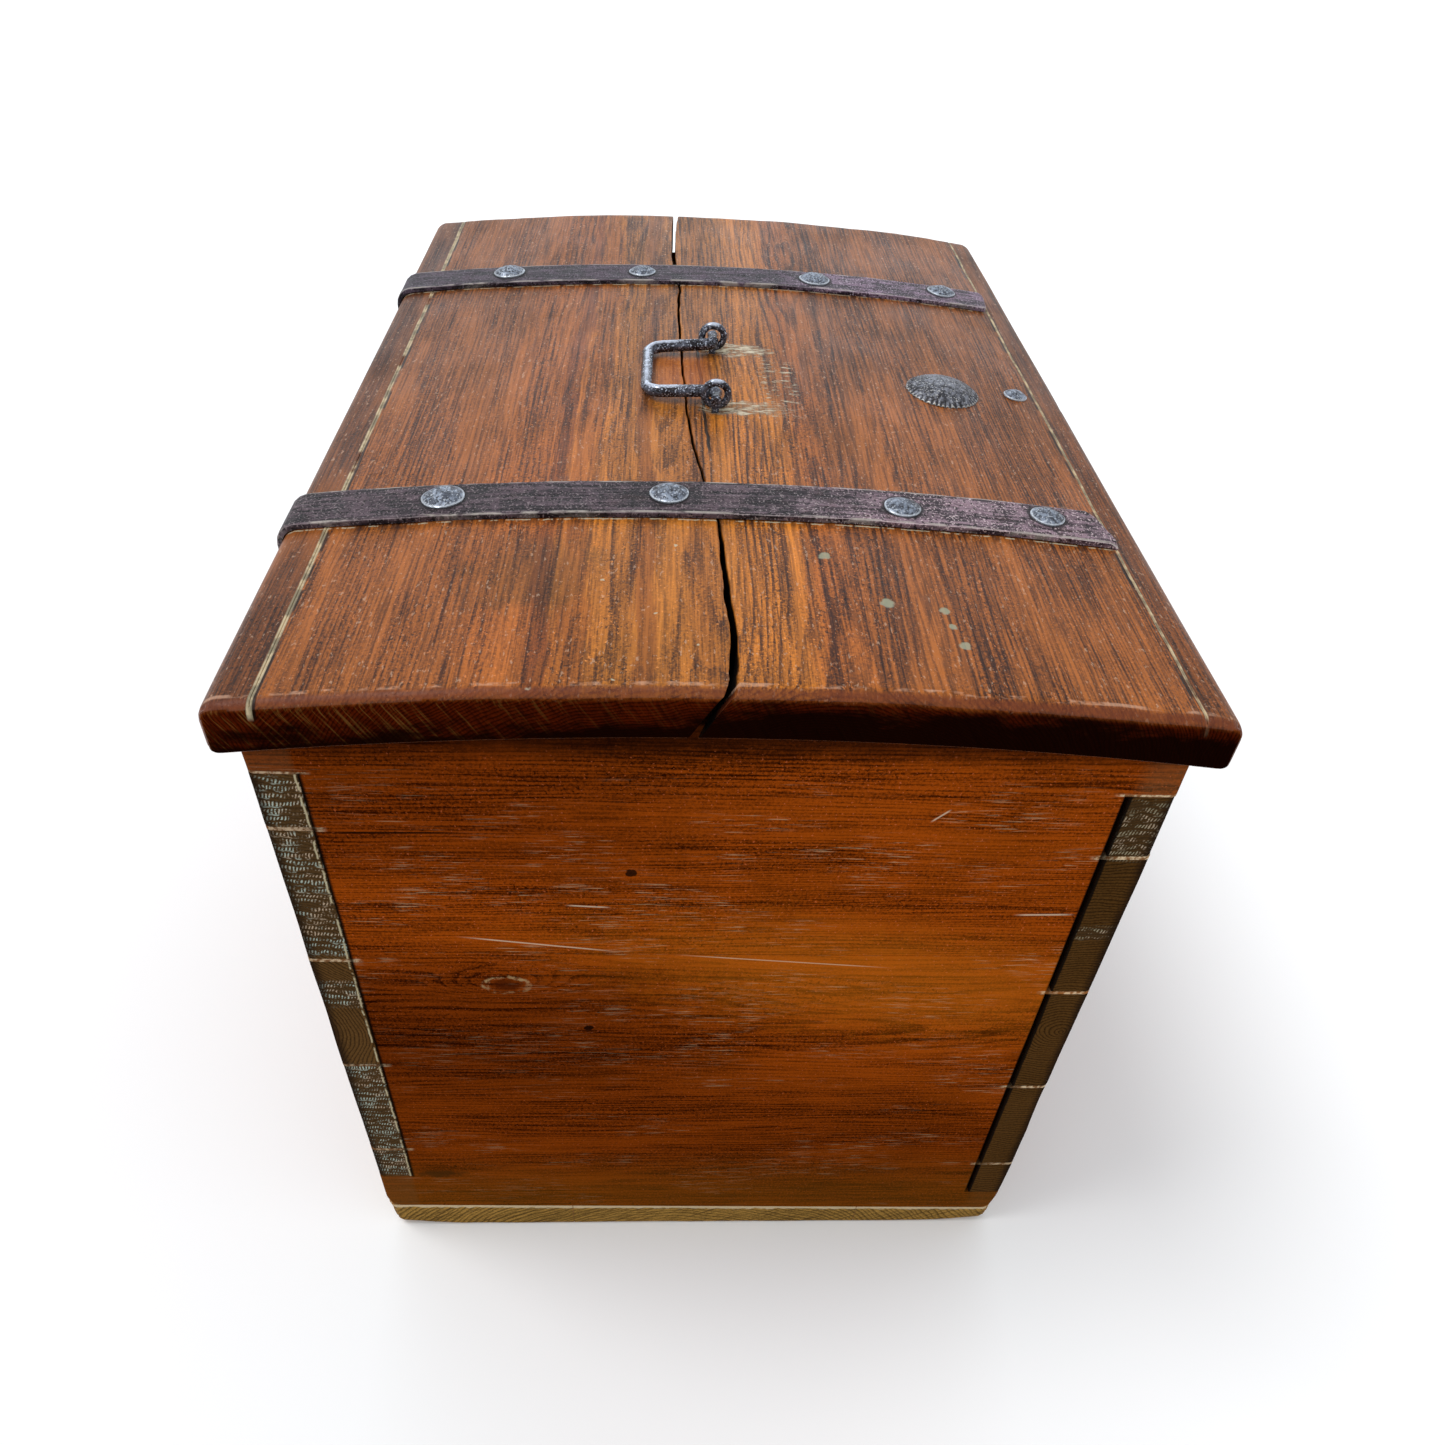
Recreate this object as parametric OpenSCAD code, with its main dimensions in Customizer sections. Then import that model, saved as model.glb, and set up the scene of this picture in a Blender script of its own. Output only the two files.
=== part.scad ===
// Dome-topped wooden chest with dovetailed walls, strap hinges, a bail handle on the lid
// and a lock inside the front wall.
// Frame: +X along the chest, +Y towards the hinges, +Z up, origin in the middle of the base.

/* [Box] */
// Length of the box
box_l = 790; // [600:10:1000]
// Depth of the box, front to back
box_w = 554; // [480:2:640]
// Thickness of the wall boards
wall_t = 30; // [24:1:34]
// Thickness of the floor at the front edge
floor_front_t = 27; // [22:1:32]
// Thickness of the floor at the back edge
floor_back_t = 38; // [30:1:42]
// Height of the glue joint between the two boards of each end
end_joint_z = 402; // [401:1:410]
// Height of the glue joint between the two boards of the front and of the back
long_joint_z = 440; // [410:1:480]
// Shrinkage gap between the end boards and the front wall
shrink_gap = 3; // [1:0.5:4]

/* [Dovetails] */
// Width of a pin at the outer face of an end board
pin_t = 3; // [2:0.5:6]
// Widening of a pin on each side, from the outer to the inner face
pin_flare = 5; // [2:0.5:7]

/* [Lid] */
// Height of the lid's crown above the floor
lid_crown = 645; // [635:1:670]
// Thickness of the lid
lid_t = 34; // [30:1:38]
// Rise of the dome
lid_rise = 18; // [12:1:24]
// Overhang of the lid at each end
lid_end_over = 15; // [8:1:20]
// Overhang of the lid at the front
lid_front_over = 15; // [10:1:20]
// Overhang of the lid at the back
lid_back_over = 11; // [9:1:13]
// Width of the edge strip at the back of the lid
back_strip_w = 31; // [26:0.5:36]
// Width of the edge strip at the front of the lid
front_strip_w = 25.5; // [22:0.5:27]
// Radius of the strips' rounded edges
strip_edge_r = 12; // [8:1:14]
// Gap between the lid and the top of the walls
lid_gap = 1; // [0.5:0.1:1.5]

/* [Hinges] */
// Width of the strap hinges
strap_w = 42; // [34:1:48]
// Thickness of the strap hinges
strap_t = 4; // [3:0.5:5]
// Position of the left strap along the chest
left_strap_x = -207.5; // [-240:0.5:-180]
// Position of the right strap along the chest
right_strap_x = 217; // [180:1:240]
// Height of the hinge pins
hinge_z = 588; // [586:0.5:589]
// Diameter of the hinge pins
hinge_pin_d = 7; // [6:0.5:7]
// Outer diameter of the hinge knuckles
knuckle_d = 15; // [14:0.5:15]
// Reach of the hinge leaves below the hinge pins
leaf_l = 156; // [136:2:200]

/* [Bail handle] */
// Diameter of the bail's rod
bail_d = 9.5; // [8:0.5:10]
// Reach of the bail from its axis to the middle of the grip
bail_reach = 53; // [45:1:60]
// Height of the eyes' rings above the lid
eye_h = 11.5; // [11:0.5:13]
// Diameter of the eyes' holes
eye_hole_d = 12; // [11:0.5:13]
// Diameter of the eyes' wire
eye_wire_d = 6; // [5:0.5:6]
// Diameter of the bail's pivots
bail_pivot_d = 7.2; // [6:0.2:7.4]

/* [Lock] */
// Length of the lock case
lock_l = 110; // [90:1:130]
// Height of the lock case
lock_h = 75; // [65:1:90]
// Depth of the lock case
lock_d = 28; // [26:1:32]
// Throw of the lock bolt
bolt_throw = 14; // [10:1:16]
// Diameter of the keyhole's round end
key_d = 10; // [8:1:12]
// Width of the keyhole's slot
key_slot_w = 6; // [5:0.5:7]

/* [Hidden] */
$fn = 48;

cut = 1;            // overshoot of a cutting shape
fine = 720;         // facets of the dome's large circles
pin_gap = 0.05;     // running clearance of a shaft in its hole
seat_gap = 0.03;    // the straps rest this far above the curved lid
root = 0.5;         // how far a shank reaches into its head
head_rise = 0.2;    // height of a nail's head for its diameter
clench_thinning = 0.8;

// Colours
pine = [0.45, 0.22, 0.08];
dark_pine = [0.30, 0.13, 0.06];
end_pine = [0.52, 0.28, 0.09];
floor_pine = [0.45, 0.33, 0.17];
iron = [0.19, 0.17, 0.19];
steel = [0.42, 0.46, 0.50];

// Box
half_l = box_l / 2;
half_w = box_w / 2;
front_in_y = -half_w + wall_t;
back_in_y = half_w - wall_t;
end_in_x = half_l - wall_t;
// Heights of the dovetail joints' edges: lower half pin, thin pins, upper half pin
back_seams = [91, 137, 264, 393, 521.5, 567];
front_seams = [57, 109, 233.5, 360, 504, 558.5];
// Joints between the floor boards
floor_joints = [-148, 112];
floor_nail_xs = [-330, -110, 110, 330];
floor_nail_ys = [-190, -60, 60, 190];
floor_nail_l = 72;
floor_nail_r = 2.2;
floor_nail_head_r = 6;
floor_nail_recess = 0.6;
floor_nail_head_t = 1.6;

// Lid
lid_l = box_l + 2 * lid_end_over;
lid_w = box_w + lid_front_over + lid_back_over;
lid_mid_y = (lid_back_over - lid_front_over) / 2;
lid_front_y = lid_mid_y - lid_w / 2;
lid_back_y = lid_mid_y + lid_w / 2;
dome_r = (pow(lid_w / 2, 2) + pow(lid_rise, 2)) / (2 * lid_rise);
top_centre_z = lid_crown - dome_r;
under_centre_z = top_centre_z - lid_t;
front_joint_y = lid_front_y + front_strip_w;
back_joint_y = lid_back_y - back_strip_w;
// The split along the lid: position along X, position along Y, width
split = [
    [-410, 0, 9], [-340, -2, 6], [-230, 3, 2.6], [-120, 18, 2],
    [0, 26, 2], [130, 29.5, 2.2], [280, 34, 4.5], [410, 33, 7]
];

// Hinges
hinge_y = lid_back_y + knuckle_d / 2;
knuckle_l = strap_w / 3;
knuckle_gap = 0.3;
leg_end_z = hinge_z + knuckle_d / 2 + 2;
leaf_top_z = hinge_z - 2;
leaf_crank_z = hinge_z - 28;
leaf_crank_h = 14;
crank_shift = 1.5;
leaf_low_z = hinge_z - leaf_l;
knuckle_notch_gap = 0.8;
pin_stand = 0.5;
pin_head_grow = 4;
pin_head_h = 2;
leaf_nail_zs = [leaf_crank_z - 18, leaf_crank_z - 60, leaf_crank_z - 105];
strap_front_y = -268;
strap_skew = 9;
// Nails of the left and right strap: offset from the strap's middle, position along Y, head diameter
left_nails = [[2.5, 184, 29.6], [3.5, 35, 26.7], [-1.5, -121, 25.8], [4.5, -223, 25]];
right_nails = [[4, 188, 30], [0, 63, 25.5], [0, -100, 29.8], [5, -224, 27.6]];
strap_nail_r = 3;
leaf_nail_d = 16;
leaf_nail_r = 2.5;
leaf_nail_l = 26;

// Bail handle
bail_y = 1;
eye_left_x = -65;
eye_right_x = 45.5;
pivot_play = 0.3;
bail_axis_drop = eye_hole_d / 2 - bail_pivot_d / 2 - pivot_play;
bail_axis_z = lid_crown + eye_h - bail_axis_drop;
bail_rest_angle = -4.5;
bail_tip = 10;
bail_tip_head = [3, 0.9];
leg_gap = 0.75;
elbow_inner_r = 0.8;
elbow_lead = 1;
elbow_r = bail_d / 2 + elbow_inner_r;
elbow_run = elbow_r + elbow_lead;
leg_left_x = eye_left_x + eye_wire_d / 2 + leg_gap + elbow_run;
leg_right_x = eye_right_x - eye_wire_d / 2 - leg_gap - elbow_run;
grip_left_x = leg_left_x + 5;
grip_right_x = leg_right_x - 1;
bail_bend_r = 12;
eye_shank_r = 3;
eye_slot = [9, 27, 2.6];
clench_l = 18;

// Ornaments and lock
boss_pos = [-3, -186];
boss_d = 61;
boss_h = 9;
rivet_pos = [5.6, -249.6];
rivet_d = 20;
rivet_h = 5;
hasp_x = 3;
hasp_w = 50;
hasp_t = 4;
hasp_ys = [-264, -160];
staple_x = 14;
staple_y = -233;
staple_w = 16;
staple_t = 4;
lock_top_z = 587;
lock_skin = 2;
lock_back_y = front_in_y + lock_d;
staple_x_t = 5;
staple_low_z = 556.5;
staple_eye_h = 15;
slot_gap = 2;
lock_x = -8;
lock_mid_z = lock_top_z - lock_h / 2;
lock_flange = 12;
lock_nail_reach = lock_l / 2 + lock_flange / 2;
lock_nail_rise = lock_h / 2 - 10;
bolt_size = [52, 6, 8];
bolt_notch = [8, 2.5];
spring_t = 1.2;
spring_gap = 0.3;
spring_rise = 6;
spring_tip = [4, 1];
bolt_past_staple = 3.5;
bolt_tip_x = staple_x + staple_x_t / 2 + bolt_past_staple - bolt_throw;
bolt_z = 567;
bolt_guides = [bolt_tip_x - 34, bolt_tip_x - 10];
guide_t = 4;
guide_gap = 0.4;
key_x = -18;
key_z = 546;
key_slot_h = 16;
plate_t = 2;
plate_mid_z = key_z - 4;
plate_size = [64, 88];
plate_corner = [8, 14];
plate_point = 4;
plate_nail = [25, 27];
small_nail_r = 1.6;
small_nail_l = 14;
small_head_d = 8;

// ---------------------------------------------------------------- shared shapes

// Height of the floor boards' upper side
function floor_z(y) = floor_front_t + (floor_back_t - floor_front_t) * (y + half_w) / box_w;

// Height of the lid's upper side and its tilt there
function lid_top(y) = top_centre_z + sqrt(pow(dome_r, 2) - pow(y - lid_mid_y, 2));
function lid_under(y) = lid_top(y) - lid_t;
function lid_tilt(y) = asin((y - lid_mid_y) / dome_r);

// Points of an arc in a side view, angles measured from +Y towards +Z
function arc(centre, r, from, to, n) =
    [for (i = [0:n]) let (a = from + (to - from) * i / n) centre + r * [cos(a), sin(a)]];

module along_x(from, to) {
    translate([from, 0, 0])
        rotate([90, 0, 90])
            linear_extrude(to - from)
                children();
}

module along_y(from, to) {
    translate([0, to, 0])
        rotate([90, 0, 0])
            linear_extrude(to - from)
                children();
}

module block(from, to) {
    translate(from)
        cube(to - from);
}

module rod_x(from, to, y, z, r) {
    translate([from, y, z])
        rotate([0, 90, 0])
            cylinder(r = r, h = to - from);
}

// Long cylinder that carries the dome's curve
module dome(centre_z, r) {
    translate([0, lid_mid_y, centre_z])
        rotate([0, 90, 0])
            cylinder(r = r, h = lid_l + 2 * cut, center = true, $fn = fine);
}

// Places children on the lid with +Z square to its curved upper side
module on_lid(x, y) {
    translate([x, y, lid_top(y)])
        rotate([-lid_tilt(y), 0, 0])
            children();
}

// Low dome with a flat underside
module cap(d, h) {
    r = (pow(d / 2, 2) + pow(h, 2)) / (2 * h);
    intersection() {
        translate([0, 0, h - r])
            sphere(r = r, $fn = 96);
        cylinder(d = d + cut, h = h + cut);
    }
}

// ---------------------------------------------------------------- walls and floor

module above_floor() {
    front = -half_w - cut;
    back = half_w + cut;
    along_x(-half_l - cut, half_l + cut)
        polygon([[front, floor_z(front)], [back, floor_z(back)], [back, lid_crown], [front, lid_crown]]);
}

module under_lid() {
    dome(under_centre_z - lid_gap, dome_r);
}

// Side views of the dovetail pins of one end, side is -1 on the left and 1 on the right
module pin_outline(side, z) {
    outer = side * half_l;
    inner = side * end_in_x;
    half = pin_t / 2;
    wide = half + pin_flare;
    polygon([[outer, z - half], [outer, z + half], [inner, z + wide], [inner, z - wide]]);
}

module low_half_pin_outline(side, z) {
    outer = side * half_l;
    inner = side * end_in_x;
    polygon([[outer, 0], [outer, z], [inner, z + pin_flare], [inner, 0]]);
}

module top_half_pin_outline(side, z) {
    outer = side * half_l;
    inner = side * end_in_x;
    polygon([[outer, z], [outer, lid_crown], [inner, lid_crown], [inner, z - pin_flare]]);
}

module pins(side, seams, from_y, to_y) {
    last = len(seams) - 1;
    along_y(from_y, to_y) {
        low_half_pin_outline(side, seams[0]);
        for (k = [1:last - 1])
            pin_outline(side, seams[k]);
        top_half_pin_outline(side, seams[last]);
    }
}

// An end of the box between two heights
module end_wall(side, from_z, to_z) {
    x0 = min(side * half_l, side * end_in_x);
    difference() {
        intersection() {
            union() {
                block([x0, front_in_y + shrink_gap, 0], [x0 + wall_t, back_in_y, lid_crown]);
                pins(side, front_seams, -half_w, front_in_y + shrink_gap);
                pins(side, back_seams, back_in_y, half_w);
            }
            block([-half_l - cut, -half_w - cut, from_z], [half_l + cut, half_w + cut, to_z]);
            above_floor();
            under_lid();
        }
        floor_nail_holes();
    }
}

// The front or back of the box between two heights
module long_wall(from_y, seams, from_z, to_z) {
    difference() {
        intersection() {
            block([-half_l, from_y, from_z], [half_l, from_y + wall_t, to_z]);
            above_floor();
            under_lid();
        }
        for (side = [-1, 1])
            pins(side, seams, from_y - cut, from_y + wall_t + cut);
        floor_nail_holes();
    }
}

module floor_board(from_y, to_y) {
    difference() {
        along_x(-half_l, half_l)
            polygon([[from_y, 0], [to_y, 0], [to_y, floor_z(to_y)], [from_y, floor_z(from_y)]]);
        floor_nail_holes();
    }
}

module at_floor_nails() {
    for (x = floor_nail_xs, side = [-1, 1])
        translate([x, side * (half_w - wall_t / 2), 0])
            children();
    for (y = floor_nail_ys, side = [-1, 1])
        translate([side * (half_l - wall_t / 2), y, 0])
            children();
}

module floor_nail_holes() {
    at_floor_nails() {
        translate([0, 0, -cut])
            cylinder(r = floor_nail_r + pin_gap, h = floor_nail_l + cut + 0.5);
        translate([0, 0, -cut])
            cylinder(r = floor_nail_head_r + pin_gap, h = cut + floor_nail_recess + floor_nail_head_t);
    }
}

// ---------------------------------------------------------------- lid

module dome_slab() {
    difference() {
        dome(top_centre_z, dome_r);
        dome(under_centre_z, dome_r);
    }
}

// Edge strip with its outer edges rounded; side is -1 at the front and 1 at the back
module lid_strip(side, joint_y) {
    edge_y = lid_mid_y + side * (lid_w / 2 - strip_edge_r);
    reach = edge_y - lid_mid_y;
    top_r = dome_r - strip_edge_r;
    low_r = dome_r + strip_edge_r;
    top_z = top_centre_z + sqrt(pow(top_r, 2) - pow(reach, 2));
    low_z = under_centre_z + sqrt(pow(low_r, 2) - pow(reach, 2));
    out = side > 0 ? 0 : 180;
    down = side > 0 ? -90 : 270;
    along_x(-lid_l / 2, lid_l / 2)
        polygon(concat(
            [[joint_y, lid_under(joint_y)], [joint_y, lid_top(joint_y)]],
            arc([edge_y, top_z], strip_edge_r, 90 - asin(reach / top_r), out, 8),
            arc([edge_y, low_z], strip_edge_r, out, down - asin(reach / low_r), 8)
        ));
}

// The plan of a lid board, from one edge strip to the split
module board_plan(side, joint_y) {
    polygon(concat(
        [[lid_l / 2, joint_y], [-lid_l / 2, joint_y]],
        [for (p = split) [p[0], p[1] + side * p[2] / 2]]
    ));
}

module lid_board(side, joint_y) {
    intersection() {
        linear_extrude(lid_crown + cut)
            board_plan(side, joint_y);
        dome_slab();
    }
}

module at_strap_nails(strap_x, nails) {
    for (n = nails)
        on_lid(strap_x + n[0], n[1])
            children();
}

module shank_hole(r) {
    translate([0, 0, -lid_t - cut])
        cylinder(r = r + pin_gap, h = lid_t + strap_t + 2 * cut);
}

module strap_nail_holes() {
    at_strap_nails(left_strap_x, left_nails) shank_hole(strap_nail_r);
    at_strap_nails(right_strap_x, right_nails) shank_hole(strap_nail_r);
}

module eye_holes() {
    for (x = [eye_left_x, eye_right_x]) {
        on_lid(x, bail_y) {
            shank_hole(eye_shank_r);
            translate([0, 0, cut / 2 - eye_slot[2] / 2])
                cube(eye_slot + [0, 0, cut], center = true);
        }
    }
}

module rivet_holes() {
    for (p = [boss_pos, rivet_pos])
        on_lid(p[0], p[1]) shank_hole(strap_nail_r);
}

// Plate let into the underside of the lid
module hasp_blank(extra) {
    half = hasp_w / 2 + extra;
    intersection() {
        block([hasp_x - half, hasp_ys[0] - extra, 0], [hasp_x + half, hasp_ys[1] + extra, lid_crown]);
        difference() {
            dome(under_centre_z + hasp_t, dome_r);
            dome(under_centre_z, dome_r);
        }
    }
}

// ---------------------------------------------------------------- hinges

// Side view of a strap: along the dome, round the back edge and down to the knuckle
module strap_outline() {
    edge_y = lid_back_y - strip_edge_r;
    inner_r = dome_r - strip_edge_r;
    edge_z = top_centre_z + sqrt(pow(inner_r, 2) - pow(edge_y - lid_mid_y, 2));
    back = 90 - asin((edge_y - lid_mid_y) / inner_r);
    front = 90 - asin((strap_front_y - strap_skew - lid_mid_y) / dome_r);
    polygon(concat(
        arc([lid_mid_y, top_centre_z], dome_r + seat_gap, front, back, 48),
        arc([edge_y, edge_z], strip_edge_r + seat_gap, back, 0, 8),
        [[lid_back_y + seat_gap, leg_end_z], [lid_back_y + strap_t, leg_end_z]],
        arc([edge_y, edge_z], strip_edge_r + strap_t, 0, back, 8),
        arc([lid_mid_y, top_centre_z], dome_r + strap_t, back, front, 48)
    ));
}

module pin_hole(x) {
    rod_x(x - strap_w, x + strap_w, hinge_y, hinge_z, hinge_pin_d / 2 + pin_gap);
}

// Strap hinge; skew sets its front end back at the right-hand side
module strap(x, front_y, skew, nails) {
    half = strap_w / 2;
    knuckle = (knuckle_l - knuckle_gap) / 2;
    difference() {
        union() {
            intersection() {
                along_x(x - half, x + half)
                    strap_outline();
                linear_extrude(lid_crown + 2 * strap_t)
                    polygon([
                        [x - half, front_y],
                        [x + half, front_y + skew],
                        [x + half, lid_back_y + knuckle_d],
                        [x - half, lid_back_y + knuckle_d]
                    ]);
            }
            block([x - knuckle, lid_back_y, hinge_z], [x + knuckle, lid_back_y + strap_t, leg_end_z + cut]);
            rod_x(x - knuckle, x + knuckle, hinge_y, hinge_z, knuckle_d / 2);
        }
        pin_hole(x);
        at_strap_nails(x, nails) shank_hole(strap_nail_r);
    }
}

// Leaf on the back wall, cranked out to the knuckles beside the strap's own
module hinge_leaf(x) {
    half = strap_w / 2;
    notch = (knuckle_l + knuckle_gap) / 2;
    difference() {
        union() {
            along_x(x - half, x + half)
                polygon([
                    [half_w, leaf_low_z],
                    [half_w + strap_t, leaf_low_z],
                    [half_w + strap_t, leaf_crank_z],
                    [lid_back_y + strap_t, leaf_crank_z + leaf_crank_h],
                    [lid_back_y + strap_t, leaf_top_z],
                    [lid_back_y, leaf_top_z],
                    [lid_back_y, leaf_crank_z + leaf_crank_h + crank_shift],
                    [half_w, leaf_crank_z + crank_shift]
                ]);
            rod_x(x - half, x + half, hinge_y, hinge_z, knuckle_d / 2);
        }
        rod_x(x - notch, x + notch, hinge_y, hinge_z, knuckle_d / 2 + knuckle_notch_gap);
        pin_hole(x);
        for (z = leaf_nail_zs)
            translate([x, half_w - cut, z])
                rotate([-90, 0, 0])
                    cylinder(r = leaf_nail_r + pin_gap, h = strap_t + 2 * cut);
    }
}

module hinge_pin(x) {
    half = strap_w / 2;
    rod_x(x - half - pin_stand, x + half + pin_stand, hinge_y, hinge_z, hinge_pin_d / 2);
    for (side = [-1, 1])
        translate([x + side * (half + pin_stand / 2), hinge_y, hinge_z])
            rotate([0, side * 90, 0])
                cap(hinge_pin_d + pin_head_grow, pin_head_h);
}

// Nails through a strap and the lid, bent over below
module strap_nails(x, nails) {
    for (n = nails)
        on_lid(x + n[0], n[1]) {
            translate([0, 0, strap_t])
                cap(n[2], n[2] * head_rise);
            translate([0, 0, -lid_t - strap_nail_r])
                cylinder(r = strap_nail_r, h = lid_t + strap_t + strap_nail_r + root);
            rod_x(-clench_l, 0, 0, -lid_t - strap_nail_r, strap_nail_r * clench_thinning);
        }
}

module leaf_nails(x) {
    for (z = leaf_nail_zs)
        translate([x, half_w + strap_t, z])
            rotate([-90, 0, 0]) {
                cap(leaf_nail_d, leaf_nail_d * head_rise);
                translate([0, 0, -strap_t - leaf_nail_l])
                    cylinder(r = leaf_nail_r, h = strap_t + leaf_nail_l + root);
            }
}

module leaf_nail_holes() {
    for (x = [left_strap_x, right_strap_x], z = leaf_nail_zs)
        translate([x, half_w + cut, z])
            rotate([90, 0, 0])
                cylinder(r = leaf_nail_r + pin_gap, h = leaf_nail_l + 2 * cut);
}

// ---------------------------------------------------------------- bail handle

// Round rod through a list of points in the plane z = 0, bent at a radius at each inner point.
// The bends are a hair thinner than the straights and start inside them.
module bent_rod(points, bend_r, rod_r) {
    last = len(points) - 1;
    step = 0.15;
    lap = 0.4;
    function direction(i) = (points[i + 1] - points[i]) / norm(points[i + 1] - points[i]);
    function heading(i) = atan2(direction(i)[1], direction(i)[0]);
    function turn(i) = (heading(i) - heading(i - 1) + 540) % 360 - 180;
    function set_back(i) = i == 0 || i == last ? 0 : bend_r[i - 1] * tan(abs(turn(i)) / 2) - lap;
    for (i = [0:last - 1])
        translate(concat(points[i] + set_back(i) * direction(i), 0))
            rotate([0, 90, heading(i)])
                cylinder(r = rod_r, h = norm(points[i + 1] - points[i]) - set_back(i) - set_back(i + 1));
    for (i = [1:last - 1]) {
        side = sign(turn(i));
        from = heading(i - 1) - side * 90;
        start = points[i] - (set_back(i) + lap) * direction(i - 1);
        centre = start - bend_r[i - 1] * [cos(from), sin(from)];
        translate(concat(centre, 0))
            rotate([0, 0, side > 0 ? from : from - abs(turn(i))])
                rotate_extrude(angle = abs(turn(i)))
                    translate([bend_r[i - 1], 0])
                        circle(r = rod_r - step);
    }
}

module bail_shape() {
    pivot_r = bail_pivot_d / 2;
    left_shoulder = leg_left_x - elbow_run;
    right_shoulder = leg_right_x + elbow_run;
    tip_left = eye_left_x - bail_tip;
    tip_right = eye_right_x + bail_tip;
    bent_rod(
        [[left_shoulder, 0], [leg_left_x, 0], [grip_left_x, bail_reach],
         [grip_right_x, bail_reach], [leg_right_x, 0], [right_shoulder, 0]],
        [elbow_r, bail_bend_r, bail_bend_r, elbow_r],
        bail_d / 2
    );
    head_r = pivot_r + bail_tip_head[1];
    rod_x(tip_left, left_shoulder + root, 0, 0, pivot_r);
    rod_x(right_shoulder - root, tip_right, 0, 0, pivot_r);
    rod_x(tip_left, tip_left + bail_tip_head[0], 0, 0, head_r);
    rod_x(tip_right - bail_tip_head[0], tip_right, 0, 0, head_r);
}

// Ring on a shank that goes through the lid and is bent over below
module handle_eye(x) {
    ring_r = (eye_hole_d + eye_wire_d) / 2;
    on_lid(x, bail_y) {
        translate([0, 0, eye_h])
            rotate([0, 90, 0])
                rotate_extrude()
                    translate([ring_r, 0])
                        circle(d = eye_wire_d);
        translate([0, 0, -lid_t - eye_shank_r])
            cylinder(r = eye_shank_r, h = lid_t + eye_shank_r + eye_h - ring_r);
        translate([0, 0, -lid_t - eye_shank_r])
            rotate([0, 0, 90])
                rod_x(0, clench_l, 0, 0, eye_shank_r * clench_thinning);
    }
}

// ---------------------------------------------------------------- lock

// Keyhole seen from the front, its round end at the origin
module keyhole_outline(extra) {
    circle(d = key_d + 2 * extra);
    translate([-key_slot_w / 2 - extra, -key_slot_h - extra])
        square([key_slot_w + 2 * extra, key_slot_h]);
}

module keyhole(from_y, to_y, extra) {
    translate([key_x, 0, key_z])
        along_y(from_y, to_y)
            keyhole_outline(extra);
}

module in_front_plane(x, y, z) {
    translate([x, y, z])
        rotate([90, 0, 0])
            children();
}

module at_lock_nails() {
    face_y = front_in_y + lock_skin;
    for (sx = [-1, 1], sz = [-1, 1])
        in_front_plane(lock_x + sx * lock_nail_reach, face_y, lock_mid_z + sz * lock_nail_rise)
            rotate([180, 0, 0])
                children();
}

module at_escutcheon_nails() {
    for (sx = [-1, 1], sz = [-1, 1])
        in_front_plane(key_x + sx * plate_nail[0], -half_w - plate_t, plate_mid_z + sz * plate_nail[1])
            children();
}

module small_nail(head_t) {
    cap(small_head_d, small_head_d * head_rise);
    translate([0, 0, -head_t - small_nail_l])
        cylinder(r = small_nail_r, h = head_t + small_nail_l + root);
}

module small_nail_hole() {
    translate([0, 0, -small_nail_l - plate_t - lock_skin])
        cylinder(r = small_nail_r + pin_gap, h = small_nail_l + 2 * plate_t + lock_skin);
}

module staple_plan() {
    front = staple_y - staple_w / 2;
    back = staple_y + staple_w / 2;
    low = staple_low_z;
    difference() {
        polygon([
            [front, lid_crown], [front, low + staple_t], [front + staple_t, low],
            [back - staple_t, low], [back, low + staple_t], [back, lid_crown]
        ]);
        translate([front + staple_t, low + staple_t])
            square([staple_w - 2 * staple_t, staple_eye_h]);
    }
}

module bolt_blank(extra, from_x, to_x) {
    block(
        [from_x, staple_y - bolt_size[1] / 2 - extra, bolt_z - bolt_size[2] / 2 - extra],
        [to_x, staple_y + bolt_size[1] / 2 + extra, bolt_z + bolt_size[2] / 2 + extra]
    );
}

// ---------------------------------------------------------------- the chest's pieces

module end_left_lower() {
    color(end_pine) end_wall(-1, 0, end_joint_z);
}

module end_left_upper() {
    color(end_pine) end_wall(-1, end_joint_z, lid_crown);
}

module end_right_lower() {
    color(end_pine) end_wall(1, 0, end_joint_z);
}

module end_right_upper() {
    color(end_pine) end_wall(1, end_joint_z, lid_crown);
}

module front_board_lower() {
    color(pine) long_wall(-half_w, front_seams, 0, long_joint_z);
}

module front_board_upper() {
    color(pine)
        difference() {
            long_wall(-half_w, front_seams, long_joint_z, lid_crown);
            keyhole(-half_w - cut, front_in_y + cut, 0);
            at_lock_nails() small_nail_hole();
            at_escutcheon_nails() small_nail_hole();
        }
}

module back_board_lower() {
    color(pine)
        difference() {
            long_wall(back_in_y, back_seams, 0, long_joint_z);
            leaf_nail_holes();
        }
}

module back_board_upper() {
    color(pine)
        difference() {
            long_wall(back_in_y, back_seams, long_joint_z, lid_crown);
            leaf_nail_holes();
        }
}

module floor_board_front() {
    color(floor_pine) floor_board(-half_w, floor_joints[0]);
}

module floor_board_middle() {
    color(floor_pine) floor_board(floor_joints[0], floor_joints[1]);
}

module floor_board_back() {
    color(floor_pine) floor_board(floor_joints[1], half_w);
}

module floor_nails() {
    color(iron)
        at_floor_nails()
            translate([0, 0, floor_nail_recess]) {
                cylinder(r = floor_nail_head_r, h = floor_nail_head_t);
                cylinder(r = floor_nail_r, h = floor_nail_l - floor_nail_recess);
            }
}

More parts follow.
